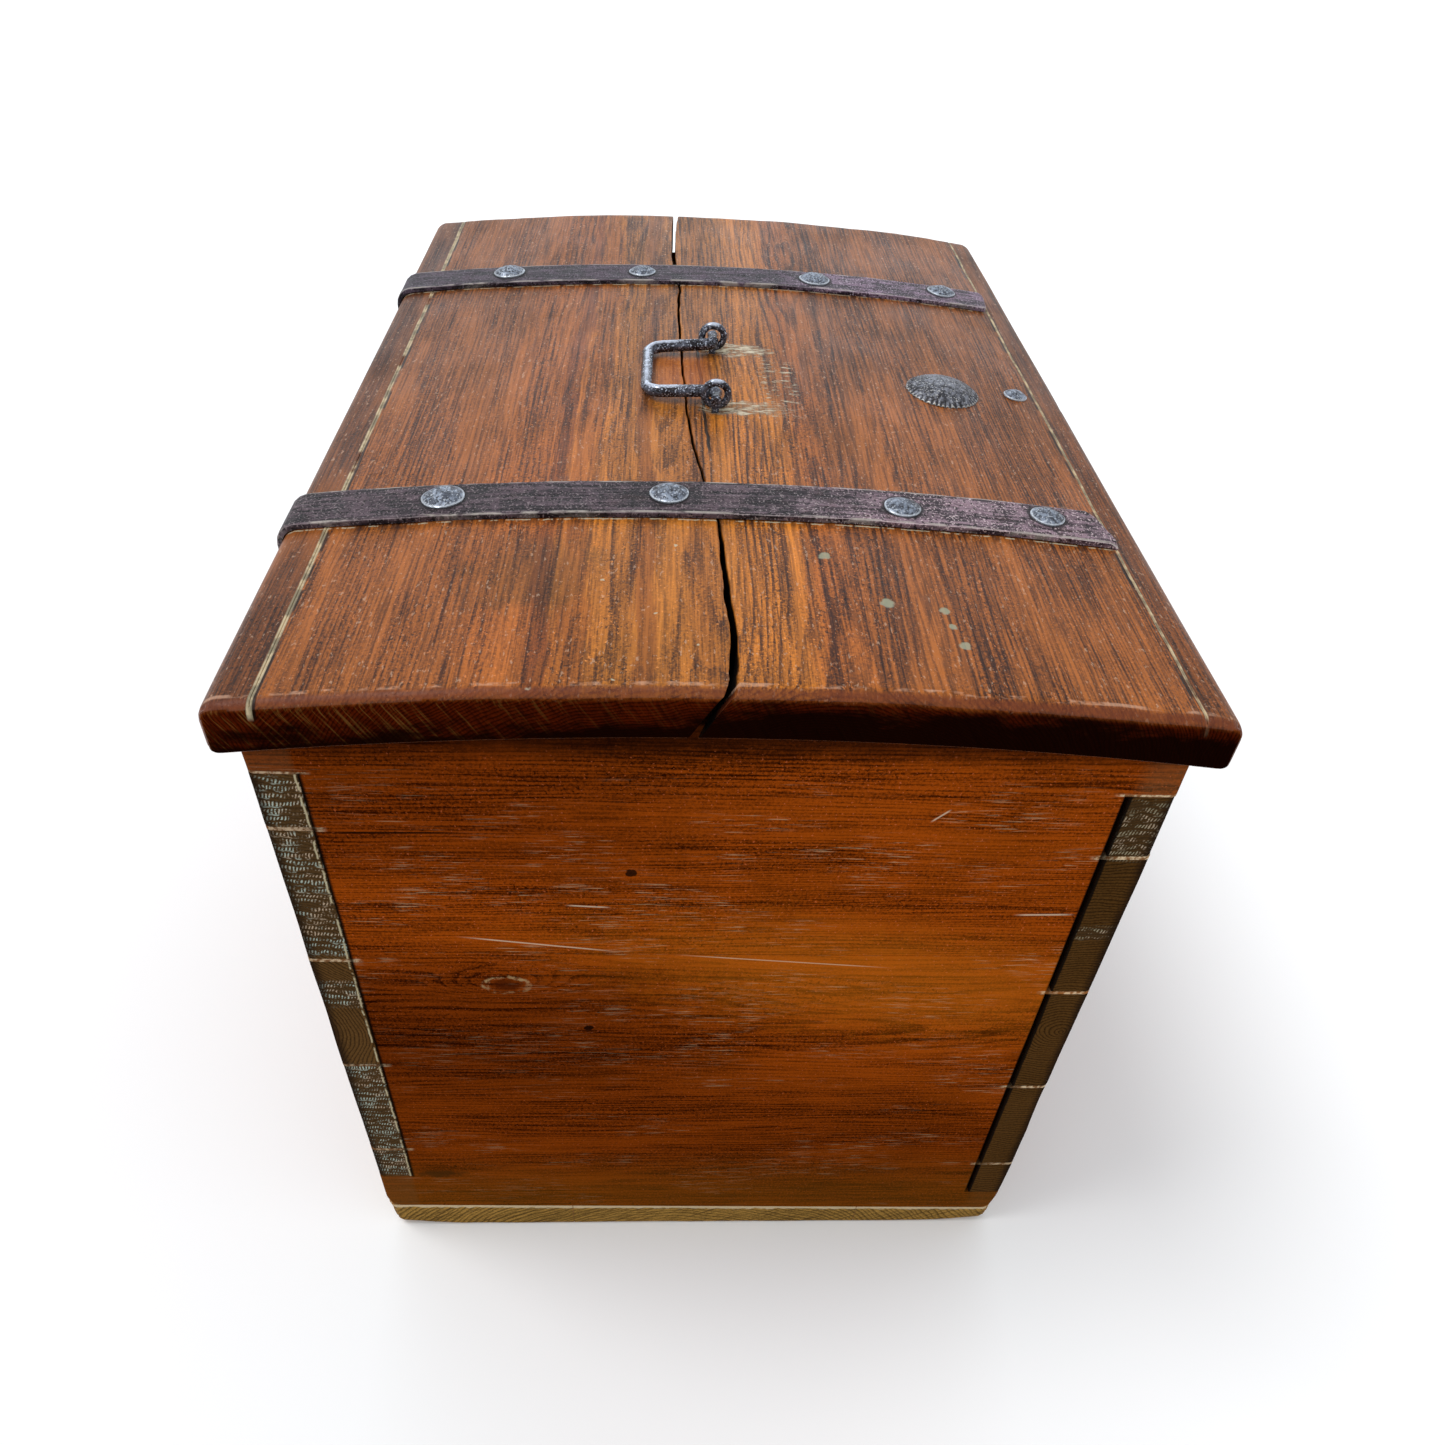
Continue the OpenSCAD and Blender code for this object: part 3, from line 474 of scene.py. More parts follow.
def long_board(name, side, seams, low, high, material, hole=None):
    """Board of the front or back with the tails of both corners; hole is (x, x, z, z) or None."""
    depth = sorted((side * SIDE_IN, side * HALF_W))
    stops = [s for s in seam_stops(seams) if low < s < high]
    across = list(hole[:2]) if hole else []
    stops += list(hole[2:]) if hole else []
    xs = lines([-HALF_L, -END_IN] + across + [END_IN, HALF_L], 10)
    ys = lines(depth, 8)
    zs = lines(sorted([low, high] + stops), 9)
    middles = (zs[:-1] + zs[1:]) / 2
    stations = (xs[:-1] + xs[1:]) / 2
    filled = (np.abs(stations) < END_IN)[:, None, None] | ~in_pins(middles, seams)[None, None, :]
    if hole:
        beside = (stations < hole[0]) | (stations > hole[1])
        beyond = (middles < hole[2]) | (middles > hole[3])
        filled = filled & (beside[:, None, None] | beyond[None, None, :])
    filled = np.broadcast_to(filled, (len(xs) - 1, len(ys) - 1, len(zs) - 1))
    points, faces = cells(xs, ys, zs, filled)
    x, _, z = points.T
    in_tail = np.abs(x) > END_IN + CLOSE
    tail_low, tail_high = tail_limits(z, seams, low, high)
    low_corner = columns(-HALF_L, depth[0], np.where(in_tail, tail_low, low))
    high_corner = columns(HALF_L, depth[1], np.where(in_tail, tail_high, high))
    rounded, wear = soften(points, low_corner, high_corner, BOARD_ROUND)
    inward = np.clip((HALF_L - np.abs(x)) / WALL, 0, 1)
    zone = smooth_step(np.abs(x), END_IN - PIN_PULL, END_IN)
    rounded[:, 2] = spread(rounded[:, 2], seams, PIN_FLARE * inward * zone)
    tail = columns(np.searchsorted(seams, z), (x > 0).astype(int), 0)
    uneven = 2.2 * hash01(tail, 7 + side) * in_tail
    marks = {"wear": wear, "inside": inside_mark(points)}
    shape = fit_heights(wear_box(rounded, uneven))
    add_piece(name + "_plank", [(shape, faces, marks)], "box", name, "wall_pine", material)


def floor_board(name, from_y, to_y, material):
    """Board of the floor, cut from an even blank and planed to the floor's taper."""
    near_edge = (0.4, 1.2, 3, 6, 10, 14)
    xs = lines((-HALF_L, HALF_L), 10, near_edge)
    ys = lines((from_y, to_y), 8, near_edge)
    zs = lines((0, FLOOR_BLANK_T), 6, near_edge[:4])
    points, faces = cells(xs, ys, zs)
    low = np.array([-HALF_L, from_y, 0])
    high = np.array([HALF_L, to_y, FLOOR_BLANK_T])
    rounded, wear = soften(points, low, high, 0.8)
    rounded[:, 2] *= floor_top(rounded[:, 1]) / FLOOR_BLANK_T
    is_top = (points[:, 2] > FLOOR_BLANK_T - 1) & (np.abs(points[:, 0]) < END_IN)
    marks = {"wear": wear, "inside": is_top.astype(float)}
    add_piece(name + "_plank", [(wear_box(rounded), faces, marks)], "box", name, "floor_pine", material)


# ---------------------------------------------------------------- lid

def split_edge(x, side, depth):
    """The split's edge on one side: -1 towards the front, 1 towards the hinges."""
    middle = np.interp(x, SPLIT_X, SPLIT_Y) + 0.7 * wobble(x, 21, 2) + 0.3 * wobble(x, 5, 4)
    width = np.interp(x, SPLIT_X, SPLIT_W) * (1 + 0.25 * wobble(x + side * 500, 14, 6))
    slant = SPLIT_SLANT * depth / LID_T * (1 - smooth_step(x, -408, -350))
    return middle + side * width / 2 + slant


def wear_lid(points):
    """Rounds the lid's edges; points hold x, y and the depth below its upper side."""
    x, y, depth = points.T
    low = np.array([-LID_HALF_L, LID_FRONT, 0])
    high = np.array([LID_HALF_L, LID_BACK, LID_T])
    along, across, upright = FAR * np.eye(3)
    sides = np.where(depth < LID_T / 2, STRIP_ROUND, 6)
    section, _ = soften(columns(0, y, depth), low - along, high + along, sides)
    y, depth = section[:, 1], section[:, 2]
    ends = 9.5 + 1.5 * wobble(y + np.sign(x) * 700, 60, 8)
    end_round = np.where(depth < LID_T / 2, ends, 4)
    profile, wear = soften(columns(x, 0, depth), low - across, high + across, end_round)
    x, depth = profile[:, 0], profile[:, 2]
    x, y = soften(columns(x, y, 0), low - upright, high + upright, 9)[0].T[:2]
    flat = columns(x, y, 0)
    waves = 0.5 * bumps(flat, np.array([140, 45, 50]), 11) + 0.18 * bumps(flat, np.array([60, 12, 50]), 12)
    edge = smooth_step(np.abs(x), LID_HALF_L - 30, LID_HALF_L)
    dents = edge * (0.5 + 0.5 * bumps(flat, 26, 13)) * 0.45
    top = 1 - smooth_step(depth, 2, 14)
    eyes = 0 * x
    for eye in EYES.values():
        reach = np.hypot((x - eye) / 6.5, (y - BAIL_Y + 1) / 16)
        eyes = np.maximum(eyes, (1 - smooth_step(reach, 0.55, 1.15)) * (2.6 + bumps(flat, 4, 15)))
    nicks = np.clip(bumps(flat, 9, 16) - 0.8, 0, 1) * 3
    depth = depth + top * (0.5 + waves + dents + eyes + nicks)
    return columns(x, y, lid_top(y) - depth), wear


# Grid lines of the lid: from its ends inwards, from a joint inwards, and down through it
EDGE_LINES = (1, 2.5, 4.5, 7, 10, 14, 20)
JOINT_LINES = (0.5, 1.2, 2.5)
DEPTH_LINES = (0, 1.2, 3, 5.5, 8.5, 12, 17, 22, 25.5, 28.5, 31, 32.8, 34)


def lid_board(name, side, joint, material):
    """Board of the lid, from its edge strip to the split."""
    near, far = sorted((joint, SPLIT_BLANK_Y))
    xs = lines((-LID_HALF_L, LID_HALF_L), 4, EDGE_LINES)
    ys = lines((near, far), 4, JOINT_LINES)
    points, faces = cells(xs, ys, DEPTH_LINES)
    rounded, wear = soften(points, np.array([-FAR, near, 0]), np.array([FAR, far, LID_T]), 1.0)
    part = (rounded[:, 1] - joint) / (SPLIT_BLANK_Y - joint)
    edge = split_edge(rounded[:, 0], side, rounded[:, 2])
    rounded[:, 1] = joint + (edge - joint) * part
    shape, end_wear = wear_lid(rounded)
    at_split = np.isclose(points[:, 1], SPLIT_BLANK_Y)
    marks = {
        "wear": np.maximum(wear, end_wear),
        # Painted shade on the split's walls, growing with depth.
        "split_shade": at_split * smooth_step(points[:, 2], 0.5, 5),
        "inside": smooth_step(points[:, 2], 30, 34) * (np.abs(points[:, 0]) < END_IN),
        "deep": points[:, 2] / LID_T,
    }
    add_piece(name + "_plank", [(shape, faces, marks)], "lid", name, "lid_pine", *material)


def lid_strip(name, joint, edge, material):
    """Edge strip of the lid, from its joint to the rounded outer edge."""
    inward = -math.copysign(1, edge)
    xs = lines((-LID_HALF_L, LID_HALF_L), 5, EDGE_LINES)
    outer = edge + inward * np.array([0, 1, 2.5, 4.5, 7, 10, STRIP_ROUND])
    inner = lines(sorted((joint, edge + inward * STRIP_ROUND)), 4, JOINT_LINES)
    points, faces = cells(xs, np.unique(np.concatenate([outer, inner])), DEPTH_LINES)
    low = np.array([-FAR, joint if joint > 0 else -FAR, 0])
    high = np.array([FAR, joint if joint < 0 else FAR, LID_T])
    rounded, wear = soften(points, low, high, 1.0)
    shape, end_wear = wear_lid(rounded)
    marks = {"wear": np.maximum(wear, end_wear), "deep": points[:, 2] / LID_T}
    add_piece(name + "_rail", [(shape, faces, marks)], "lid", name, "lid_pine", *material)


# ---------------------------------------------------------------- ironwork

def strap_path():
    """Places along the underside of a strap with the direction off it, from front to hinge."""
    places, off = [], []
    edge_y = LID_BACK - STRIP_ROUND
    for y in np.arange(STRAP_FRONT - STRAP_SKEW, edge_y, 3):
        places.append((y, float(lid_top(y))))
        off.append(lid_normal(y)[1:])
    inner = DOME_R - STRIP_ROUND
    edge_z = LID_CROWN - DOME_R + math.sqrt(inner ** 2 - (edge_y - LID_MID) ** 2)
    start = math.acos((edge_y - LID_MID) / inner)
    for angle in np.linspace(start, 0, 9):
        off.append((math.cos(angle), math.sin(angle)))
        places.append((edge_y + STRIP_ROUND * math.cos(angle), edge_z + STRIP_ROUND * math.sin(angle)))
    for z in np.linspace(edge_z, HINGE_Z, 9)[1:]:
        off.append((1, 0))
        places.append((LID_BACK, z))
    return np.array(places), np.array(off)


def strap(side, material):
    """Upper leaf of a hinge, laid along the lid and down its back edge, with its knuckle."""
    x0 = STRAPS[side]
    half = STRAP_W / 2
    places, off = strap_path()
    run = np.concatenate([[0], np.cumsum(np.linalg.norm(np.diff(places, axis=0), axis=1))])
    start = STRAP_SKEW
    end = run[-1]
    narrow = end - (STRAP_END_Z - HINGE_Z)
    near_edge = (0.5, 1.4, 3)
    ws = lines((-half, -KNUCKLE_HALF, KNUCKLE_HALF, half), 4, near_edge)
    runs = lines((start, narrow, end), 4, near_edge)
    ts = np.array([0, 0.6, 1.4, 2.6, 3.4, STRAP_T])
    in_knuckle = np.abs(ws[:-1] + ws[1:]) / 2 < KNUCKLE_HALF
    in_strap = (runs[:-1] + runs[1:]) / 2 < narrow
    filled = in_knuckle[:, None] | in_strap[None, :]
    points, faces = cells(ws, runs, ts, np.repeat(filled[:, :, None], len(ts) - 1, axis=2))
    past_strap = (points[:, 1] > narrow + CLOSE)[:, None]
    low = np.where(past_strap, [-KNUCKLE_HALF, start, -FAR], [-half, start, -FAR])
    high = np.where(past_strap, [KNUCKLE_HALF, FAR, STRAP_T], [half, narrow, STRAP_T])
    rounded, wear = soften(points, low, high, 1.3)
    w, s, t = rounded.T
    slanted = side == "left"
    skew = STRAP_SKEW * (w + half) / STRAP_W
    set_back = skew if slanted else 4 - skew / 2
    corner = 5 * (np.abs(w) / half) ** 4 * (w > 0)
    s = s + (set_back + corner) * (1 - smooth_step(s, start, start + 50))
    sideways = columns(x0 + 40 * np.sign(w), s, 0)
    w = w * (1 + 0.025 * bumps(sideways, 38, 21))
    beaten = 0.22 * bumps(columns(w + x0, s, 0), 11, 22) - 0.15
    t = t + beaten * smooth_step(t, 2, STRAP_T)
    at_y, at_z, off_y, off_z = (np.interp(s, run, row) for row in (*places.T, *off.T))
    tip = 3.2 * smooth_step(-w, half - 7, half) * (1 - smooth_step(s, start, start + 7)) * slanted
    shape = columns(x0 + w, at_y + off_y * t, at_z + off_z * t - tip)
    ring_mid = (KNUCKLE_R + PIN_HOLE_R) / 2
    ring_half = (KNUCKLE_R - PIN_HOLE_R) / 2
    angles = turns(32)
    loop = columns(0, ring_mid * np.cos(angles), ring_mid * np.sin(angles))
    ring, ring_skin = square_ring(loop + [x0, HINGE_Y, HINGE_Z], KNUCKLE_HALF, ring_half, (HINGE_Y, HINGE_Z))
    add_piece(
        "strap_" + side + "_iron", [(shape, faces, {"wear": wear}), (ring, ring_skin, {})],
        "lid", "strap_" + side, "strap_iron", material)


def square_ring(loop, half_x, half_r, centre):
    """Short pipe round a line along X."""
    section = [(-half_x, -half_r), (-half_x, half_r - 0.6), (-half_x + 0.6, half_r),
               (half_x - 0.6, half_r), (half_x, half_r - 0.6), (half_x, -half_r)]
    points, faces = [], []
    count, corners = len(loop), len(section)
    for place in loop:
        outward = place - np.array([place[0], *centre])
        outward /= np.linalg.norm(outward)
        points += [place + np.array([dx, 0, 0]) + outward * dr for dx, dr in section]
    for a in range(count):
        b = (a + 1) % count
        for k in range(corners):
            after = (k + 1) % corners
            faces.append((a * corners + k, a * corners + after, b * corners + after, b * corners + k))
    return np.array(points), faces


def round_axis(points, radius):
    """Angle of every point, how far out it is, and its place on a ring of radius 1."""
    angle = np.arctan2(points[:, 1], points[:, 0])
    out = np.hypot(points[:, 0], points[:, 1]) / radius
    return angle, out, columns(np.cos(angle), np.sin(angle), 0)


def forged_cap(radius, height, seed):
    """Hammered nail head with its flat side at height 0."""
    rise = height - NAIL_RIM
    ball = (radius ** 2 + rise ** 2) / (2 * rise)
    reach = np.concatenate([np.linspace(0, 0.92, 13), [0.97, 1.0]]) * radius
    profile = [(r, height - ball + math.sqrt(ball ** 2 - r ** 2)) for r in reach]
    profile += [(radius * 0.99, 0), (0, 0)]
    points, faces = lathe(profile, 44)
    _, out, ring = round_axis(points, radius)
    points[:, :2] *= (1 - 0.03 * (1 + bumps(ring + 9 * seed, 0.55, seed)) * out)[:, None]
    place = points + 100 * seed
    dents = 0.28 * bumps(place, 5.5, seed) + 0.13 * bumps(place, 2.2, seed + 1)
    points[:, 2] += (dents - 0.3) * smooth_step(points[:, 2], NAIL_RIM * 0.5, height * 0.6)
    return points, faces, {"wear": smooth_step(out, 0.8, 1.0)}


def clenched_shank(top, direction):
    """Nail's shank through the lid with its end bent over below."""
    down = -LID_T - SHANK_R
    foot = CLENCH * np.array(direction) + (0, 0, down)
    path = bent_path([(0, 0, top), (0, 0, down), tuple(foot)], [SHANK_R + 0.5], 4)
    along = np.linspace(0, 1, len(path))
    sizes = np.interp(along, (0, 0.8, 1), (SHANK_R, SHANK_R * 0.9, SHANK_R * 0.45))
    return tube(path, columns(sizes, sizes), np.cross((0, 0, 1), direction), 12)


def straight_shank(foot):
    """Rivet's shank through the lid, down to its foot."""
    path = [(0, 0, 0.5), (0, 0, -LID_T / 2), (0, 0, foot)]
    return tube(path, [[SHANK_R, SHANK_R]] * 3, (1, 0, 0), 12)


def strap_nails(side, material):
    """The domed nails of one strap, clenched under the lid."""
    shells = []
    first_seed = 5 if side == "left" else 11
    for k, (dx, y, width) in enumerate(STRAP_NAILS[side]):
        x = STRAPS[side] + dx
        points, faces, marks = forged_cap(width / 2, width / 5, first_seed + k)
        shells.append((on_lid(points + [0, 0, STRAP_T - 0.2], x, y), faces, marks))
        points, faces = clenched_shank(STRAP_T + 0.5, (-1, 0, 0))
        shells.append((on_lid(points, x, y), faces))
    add_piece("strap_nails_" + side + "_iron", shells, "lid", "strap_nails_" + side, "nail_iron", material)


def handle_eye(side, material):
    """Eye that the bail turns in: an uneven ring on a clenched shank."""
    angles = turns(40)
    size = EYE_RING + 0.3 * wobble(angles * 10 + EYES[side], 12, 31)
    ring = columns(0, size * np.cos(angles), EYE_H + size * np.sin(angles))
    wire = columns(EYE_WIRE * (0.92 + 0.06 * wobble(angles * 10, 9, 32)), EYE_WIRE * 0.97)
    points, faces = tube(ring, wire, (1, 0, 0), 14, closed=True)
    wear = smooth_step(points[:, 2], EYE_H + 7, EYE_H + 12)
    shells = [(on_lid(points, EYES[side], BAIL_Y), faces, {"wear": wear})]
    shank, shank_faces = clenched_shank(EYE_H - EYE_RING, (0, 1, 0))
    shells.append((on_lid(shank, EYES[side], BAIL_Y), shank_faces))
    add_piece("handle_eye_" + side + "_iron", shells, "lid", "handle_eye_" + side, "bail_iron", material)


def bail(material):
    """Forged handle: two legs and a flattened grip, with pivots through the eyes."""
    tips = (EYES["left"] - 10, EYES["right"] + 10)
    legs = (-54.7, 35.2)
    grips = (-49.7, 34.2)
    reach = 53
    corners = [(tips[0], 0, 0), (legs[0], 0, 0), (grips[0], reach, 0),
               (grips[1], reach, 0), (legs[1], 0, 0), (tips[1], 0, 0)]
    path = bent_path(corners, [5.55, 12, 12, 5.55], 2.5)
    from_tip = np.minimum(path[:, 0] - tips[0], tips[1] - path[:, 0])
    size = np.interp(from_tip, (0, 0.6, 3, 3.6, 13, 14.5), (3.2, 4.4, 4.4, PIVOT_R, PIVOT_R, BAIL_R))
    grip = smooth_step(path[:, 1], reach - 6, reach)
    uneven = 0.02 * bumps(path, 14, 41)
    across = size * (1 + uneven) * (1 - 0.03 * grip)
    thick = size * (0.98 - uneven) * (1 - 0.12 * grip)
    points, faces = tube(path, columns(across, thick), (0, 0, 1), 18)
    points += 0.12 * columns(*(bumps(points, 5, seed) for seed in (43, 44, 45)))
    # Worn upper and lower faces of the rod, which the bail's material also paints as highlight.
    outward = smooth_step(np.abs(points[:, 2]), 0.5 * BAIL_R, BAIL_R) * smooth_step(points[:, 1], 2, 40)
    turn = math.radians(BAIL_ANGLE)
    x, y, z = points.T
    shape = columns(
        x, BAIL_Y + y * math.cos(turn) - z * math.sin(turn),
        BAIL_Z + y * math.sin(turn) + z * math.cos(turn))
    add_piece("bail_iron", [(shape, faces, {"wear": outward})], "bail", "bail", "bail_iron", material)


def boss(material):
    """Low dome with flutes round its rim, on a shank through the lid."""
    ball = (BOSS_R ** 2 + BOSS_H ** 2) / (2 * BOSS_H)
    reach = np.concatenate([np.linspace(0, 0.9, 22), [0.94, 0.97, 1.0]]) * BOSS_R
    profile = [(r, BOSS_H - ball + math.sqrt(ball ** 2 - r ** 2)) for r in reach]
    profile += [(BOSS_R * 0.98, -0.8), (0, -0.8)]
    points, faces = lathe(profile, 216)
    angle, out, ring = round_axis(points, BOSS_R)
    flute = np.cos(44 * angle + 2.2 * bumps(ring, 0.4, 51))
    depth = (0.45 - 0.45 * flute) * smooth_step(out, 0.68, 0.92) * (1 + 0.5 * bumps(ring, 0.3, 52))
    points[:, 2] -= depth * (points[:, 2] > -0.5) + 0.15 * (1 + bumps(points, 6, 53)) * (points[:, 2] > 1)
    points[:, :2] *= (1 - 0.02 * (1 + flute) * smooth_step(out, 0.9, 1))[:, None]
    marks = {"wear": smooth_step(out, 0.9, 1.0), "flute": depth}
    shank, shank_faces = straight_shank(-LID_T)
    shells = [(on_lid(points, *BOSS_AT), faces, marks), (on_lid(shank, *BOSS_AT), shank_faces)]
    add_piece("lid_boss_iron", shells, "lid", "lid_boss", "boss_iron", material)


def rivet(material):
    """Small domed head near the lid's front edge, on a shank through the lid."""
    points, faces, marks = forged_cap(10, 5, 17)
    shank, shank_faces = straight_shank(0.5 - LID_T)
    shells = [(on_lid(points - [0, 0, 0.3], *RIVET_AT), faces, marks),
              (on_lid(shank, *RIVET_AT), shank_faces)]
    add_piece("lid_rivet_iron", shells, "lid", "lid_rivet", "nail_iron", material)


# ---------------------------------------------------------------- material nodes

class Signal:
    """A shader value that adds and multiplies like a number."""

    def __init__(self, graph, socket):
        self.graph = graph
        self.socket = socket

    def __add__(self, other):
        return self.graph.math("ADD", self, other)

    def __sub__(self, other):
        return self.graph.math("SUBTRACT", self, other)

    def __rsub__(self, other):
        return self.graph.math("SUBTRACT", other, self)

    def __mul__(self, other):
        return self.graph.math("MULTIPLY", self, other)

    __radd__ = __add__
    __rmul__ = __mul__


class Graph:
    """Builds the nodes of one material."""

    def __init__(self, name):
        self.material = bpy.data.materials.new(name)
        self.material.use_nodes = True
        self.tree = self.material.node_tree
        self.tree.nodes.clear()
        coordinates = self.tree.nodes.new("ShaderNodeTexCoord")
        self.place = self.vector("SCALE", Signal(self, coordinates.outputs["Object"]), scale=1000)
        self.normal = Signal(self, coordinates.outputs["Normal"])
        self.x, self.y, self.z = self.split(self.place)

    def feed(self, socket, value):
        """Links a signal to the socket, or sets the socket to a constant."""
        if isinstance(value, Signal):
            self.tree.links.new(value.socket, socket)
        else:
            socket.default_value = value

    def math(self, operation, *values):
        """One step with numbers."""
        node = self.tree.nodes.new("ShaderNodeMath")
        node.operation = operation
        for socket, value in zip(node.inputs, values):
            self.feed(socket, value)
        return Signal(self, node.outputs[0])

    def vector(self, operation, *values, scale=None):
        """One step with places or directions."""
        node = self.tree.nodes.new("ShaderNodeVectorMath")
        node.operation = operation
        for socket, value in zip(node.inputs, values):
            self.feed(socket, value)
        if scale is not None:
            node.inputs["Scale"].default_value = scale
        number = operation in ("LENGTH", "DISTANCE", "DOT_PRODUCT")
        return Signal(self, node.outputs["Value" if number else "Vector"])

    def split(self, vector):
        """The three coordinates of a place."""
        node = self.tree.nodes.new("ShaderNodeSeparateXYZ")
        self.feed(node.inputs[0], vector)
        return [Signal(self, s) for s in node.outputs]

    def join(self, x, y, z):
        """The place with these coordinates."""
        node = self.tree.nodes.new("ShaderNodeCombineXYZ")
        for socket, value in zip(node.inputs, (x, y, z)):
            self.feed(socket, value)
        return Signal(self, node.outputs[0])

    def noise(self, vector, size, detail=2.0, rough=0.5, shift=0.0):
        """Smooth noise around 0.5; size is how long its bumps are in millimetres."""
        sizes = size if isinstance(size, tuple) else (size, size, size)
        start = (shift, shift * 1.7, shift * 0.6)
        moved = self.vector("MULTIPLY_ADD", vector, tuple(1 / s for s in sizes), start)
        node = self.tree.nodes.new("ShaderNodeTexNoise")
        self.feed(node.inputs["Vector"], moved)
        node.inputs["Scale"].default_value = 1
        node.inputs["Detail"].default_value = detail
        node.inputs["Roughness"].default_value = rough
        return Signal(self, node.outputs[0])

    def patches(self, size, low, high, shift=0.0, detail=3, rough=0.6):
        """Patches of 1 on 0, where the noise passes from low to high."""
        return self.ramp(self.noise(self.place, size, detail, rough, shift), low, high)

    def stray(self, size, amount, shift, detail=3, rough=0.6):
        """Noise around 0 that reaches about half of the amount each way."""
        return (self.noise(self.place, size, detail, rough, shift) - 0.5) * amount

    def oval(self, u, half_u, v, half_v):
        """Distance from the middle of an oval, counted so that its outline is at 1."""
        return self.vector("LENGTH", self.join(u * (1 / half_u), v * (1 / half_v), 0.0))

    def merge(self, operation, values):
        """The greatest (MAXIMUM) or least (MINIMUM) of several values."""
        merged, *others = values
        for value in others:
            merged = self.math(operation, merged, value)
        return merged

    def ramp(self, value, low, high):
        """0 below low, 1 above high and smooth between; low may be the greater."""
        node = self.tree.nodes.new("ShaderNodeMapRange")
        node.interpolation_type = "SMOOTHSTEP"
        self.feed(node.inputs["Value"], value)
        flip = low > high
        node.inputs["From Min"].default_value = high if flip else low
        node.inputs["From Max"].default_value = low if flip else high
        node.inputs["To Min"].default_value = 1.0 if flip else 0.0
        node.inputs["To Max"].default_value = 0.0 if flip else 1.0
        return Signal(self, node.outputs["Result"])

    def band(self, value, middle, half, soft):
        """1 within half of the middle, fading to 0 over soft."""
        return self.ramp(self.math("ABSOLUTE", value - middle), half + soft, half)

    def mix(self, amount, first, second, blend="MIX"):
        """The first colour with the second laid over it by amount."""
        node = self.tree.nodes.new("ShaderNodeMix")
        node.data_type = "RGBA"
        node.blend_type = blend
        self.feed(node.inputs[0], amount)
        for socket, value in zip((node.inputs[6], node.inputs[7]), (first, second)):
            self.feed(socket, value if isinstance(value, Signal) else (*value, 1.0))
        return Signal(self, node.outputs[2])

    def mark(self, name):
        """A number painted on the mesh's points."""
        node = self.tree.nodes.new("ShaderNodeAttribute")
        node.attribute_name = name
        return Signal(self, node.outputs["Fac"])

    def spot(self, centre, radius, soft=1.0):
        """Round mark at a place, with a ragged outline."""
        distance = self.vector("DISTANCE", self.ragged(), centre)
        return self.ramp(distance, radius + soft, radius)

    def ragged(self):
        """The place, pushed about a little."""
        if not hasattr(self, "pushed"):
            node = self.tree.nodes.new("ShaderNodeTexNoise")
            self.feed(node.inputs["Vector"], self.vector("SCALE", self.place, scale=0.16))
            node.inputs["Scale"].default_value = 1
            push = self.vector("MULTIPLY_ADD", Signal(self, node.outputs[1]), (5, 5, 5), (-2.5, -2.5, -2.5))
            self.pushed = self.vector("ADD", self.place, push)
        return self.pushed

    def stroke(self, start, end, width):
        """Thin line between two places, fading at both ends."""
        start, end = np.array(start, float), np.array(end, float)
        length = float(np.linalg.norm(end - start))
        along = tuple((end - start) / length)
        moved = self.vector("SUBTRACT", self.place, tuple(start))
        run = self.vector("DOT_PRODUCT", moved, along)
        nearest = self.vector("SCALE", self.join(*along), scale=1.0)
        self.feed(nearest.socket.node.inputs["Scale"], run)
        off = self.vector("DISTANCE", moved, nearest)
        inside = self.ramp(run, 0, length * 0.25) * self.ramp(run, length, length * 0.75)
        return self.ramp(off, width, width * 0.3) * inside

    def finish(self, colour, rough, height, metallic=0.0, specular=0.5):
        """Closes the material; height is in millimetres."""
        shader = self.tree.nodes.new("ShaderNodeBsdfPrincipled")
        bump = self.tree.nodes.new("ShaderNodeBump")
        bump.inputs["Distance"].default_value = 0.001
        self.feed(bump.inputs["Height"], height)
        self.tree.links.new(bump.outputs[0], shader.inputs["Normal"])
        self.feed(shader.inputs["Base Color"], colour)
        self.feed(shader.inputs["Roughness"], rough)
        shader.inputs["Metallic"].default_value = metallic
        shader.inputs["Specular IOR Level"].default_value = specular
        output = self.tree.nodes.new("ShaderNodeOutputMaterial")
        self.tree.links.new(shader.outputs[0], output.inputs[0])
        return self.material


class Surface:
    """The parts of a material that a piece's own marks can change."""

    def __init__(self, graph, colour, rough, height, end=None):
        self.g = graph
        self.colour = colour
        self.rough = rough
        self.height = height
        self.end = end

    def tint(self, amount, colour, blend="MIX"):
        """Lays a colour over the surface, or multiplies it in."""
        self.colour = self.g.mix(amount, self.colour, colour, blend)

    def raise_by(self, amount):
        """Lifts the surface by millimetres."""
        self.height = self.height + amount


def scaled(colour, amount):
    """The colour made darker or lighter."""
    return tuple(amount * part for part in colour)


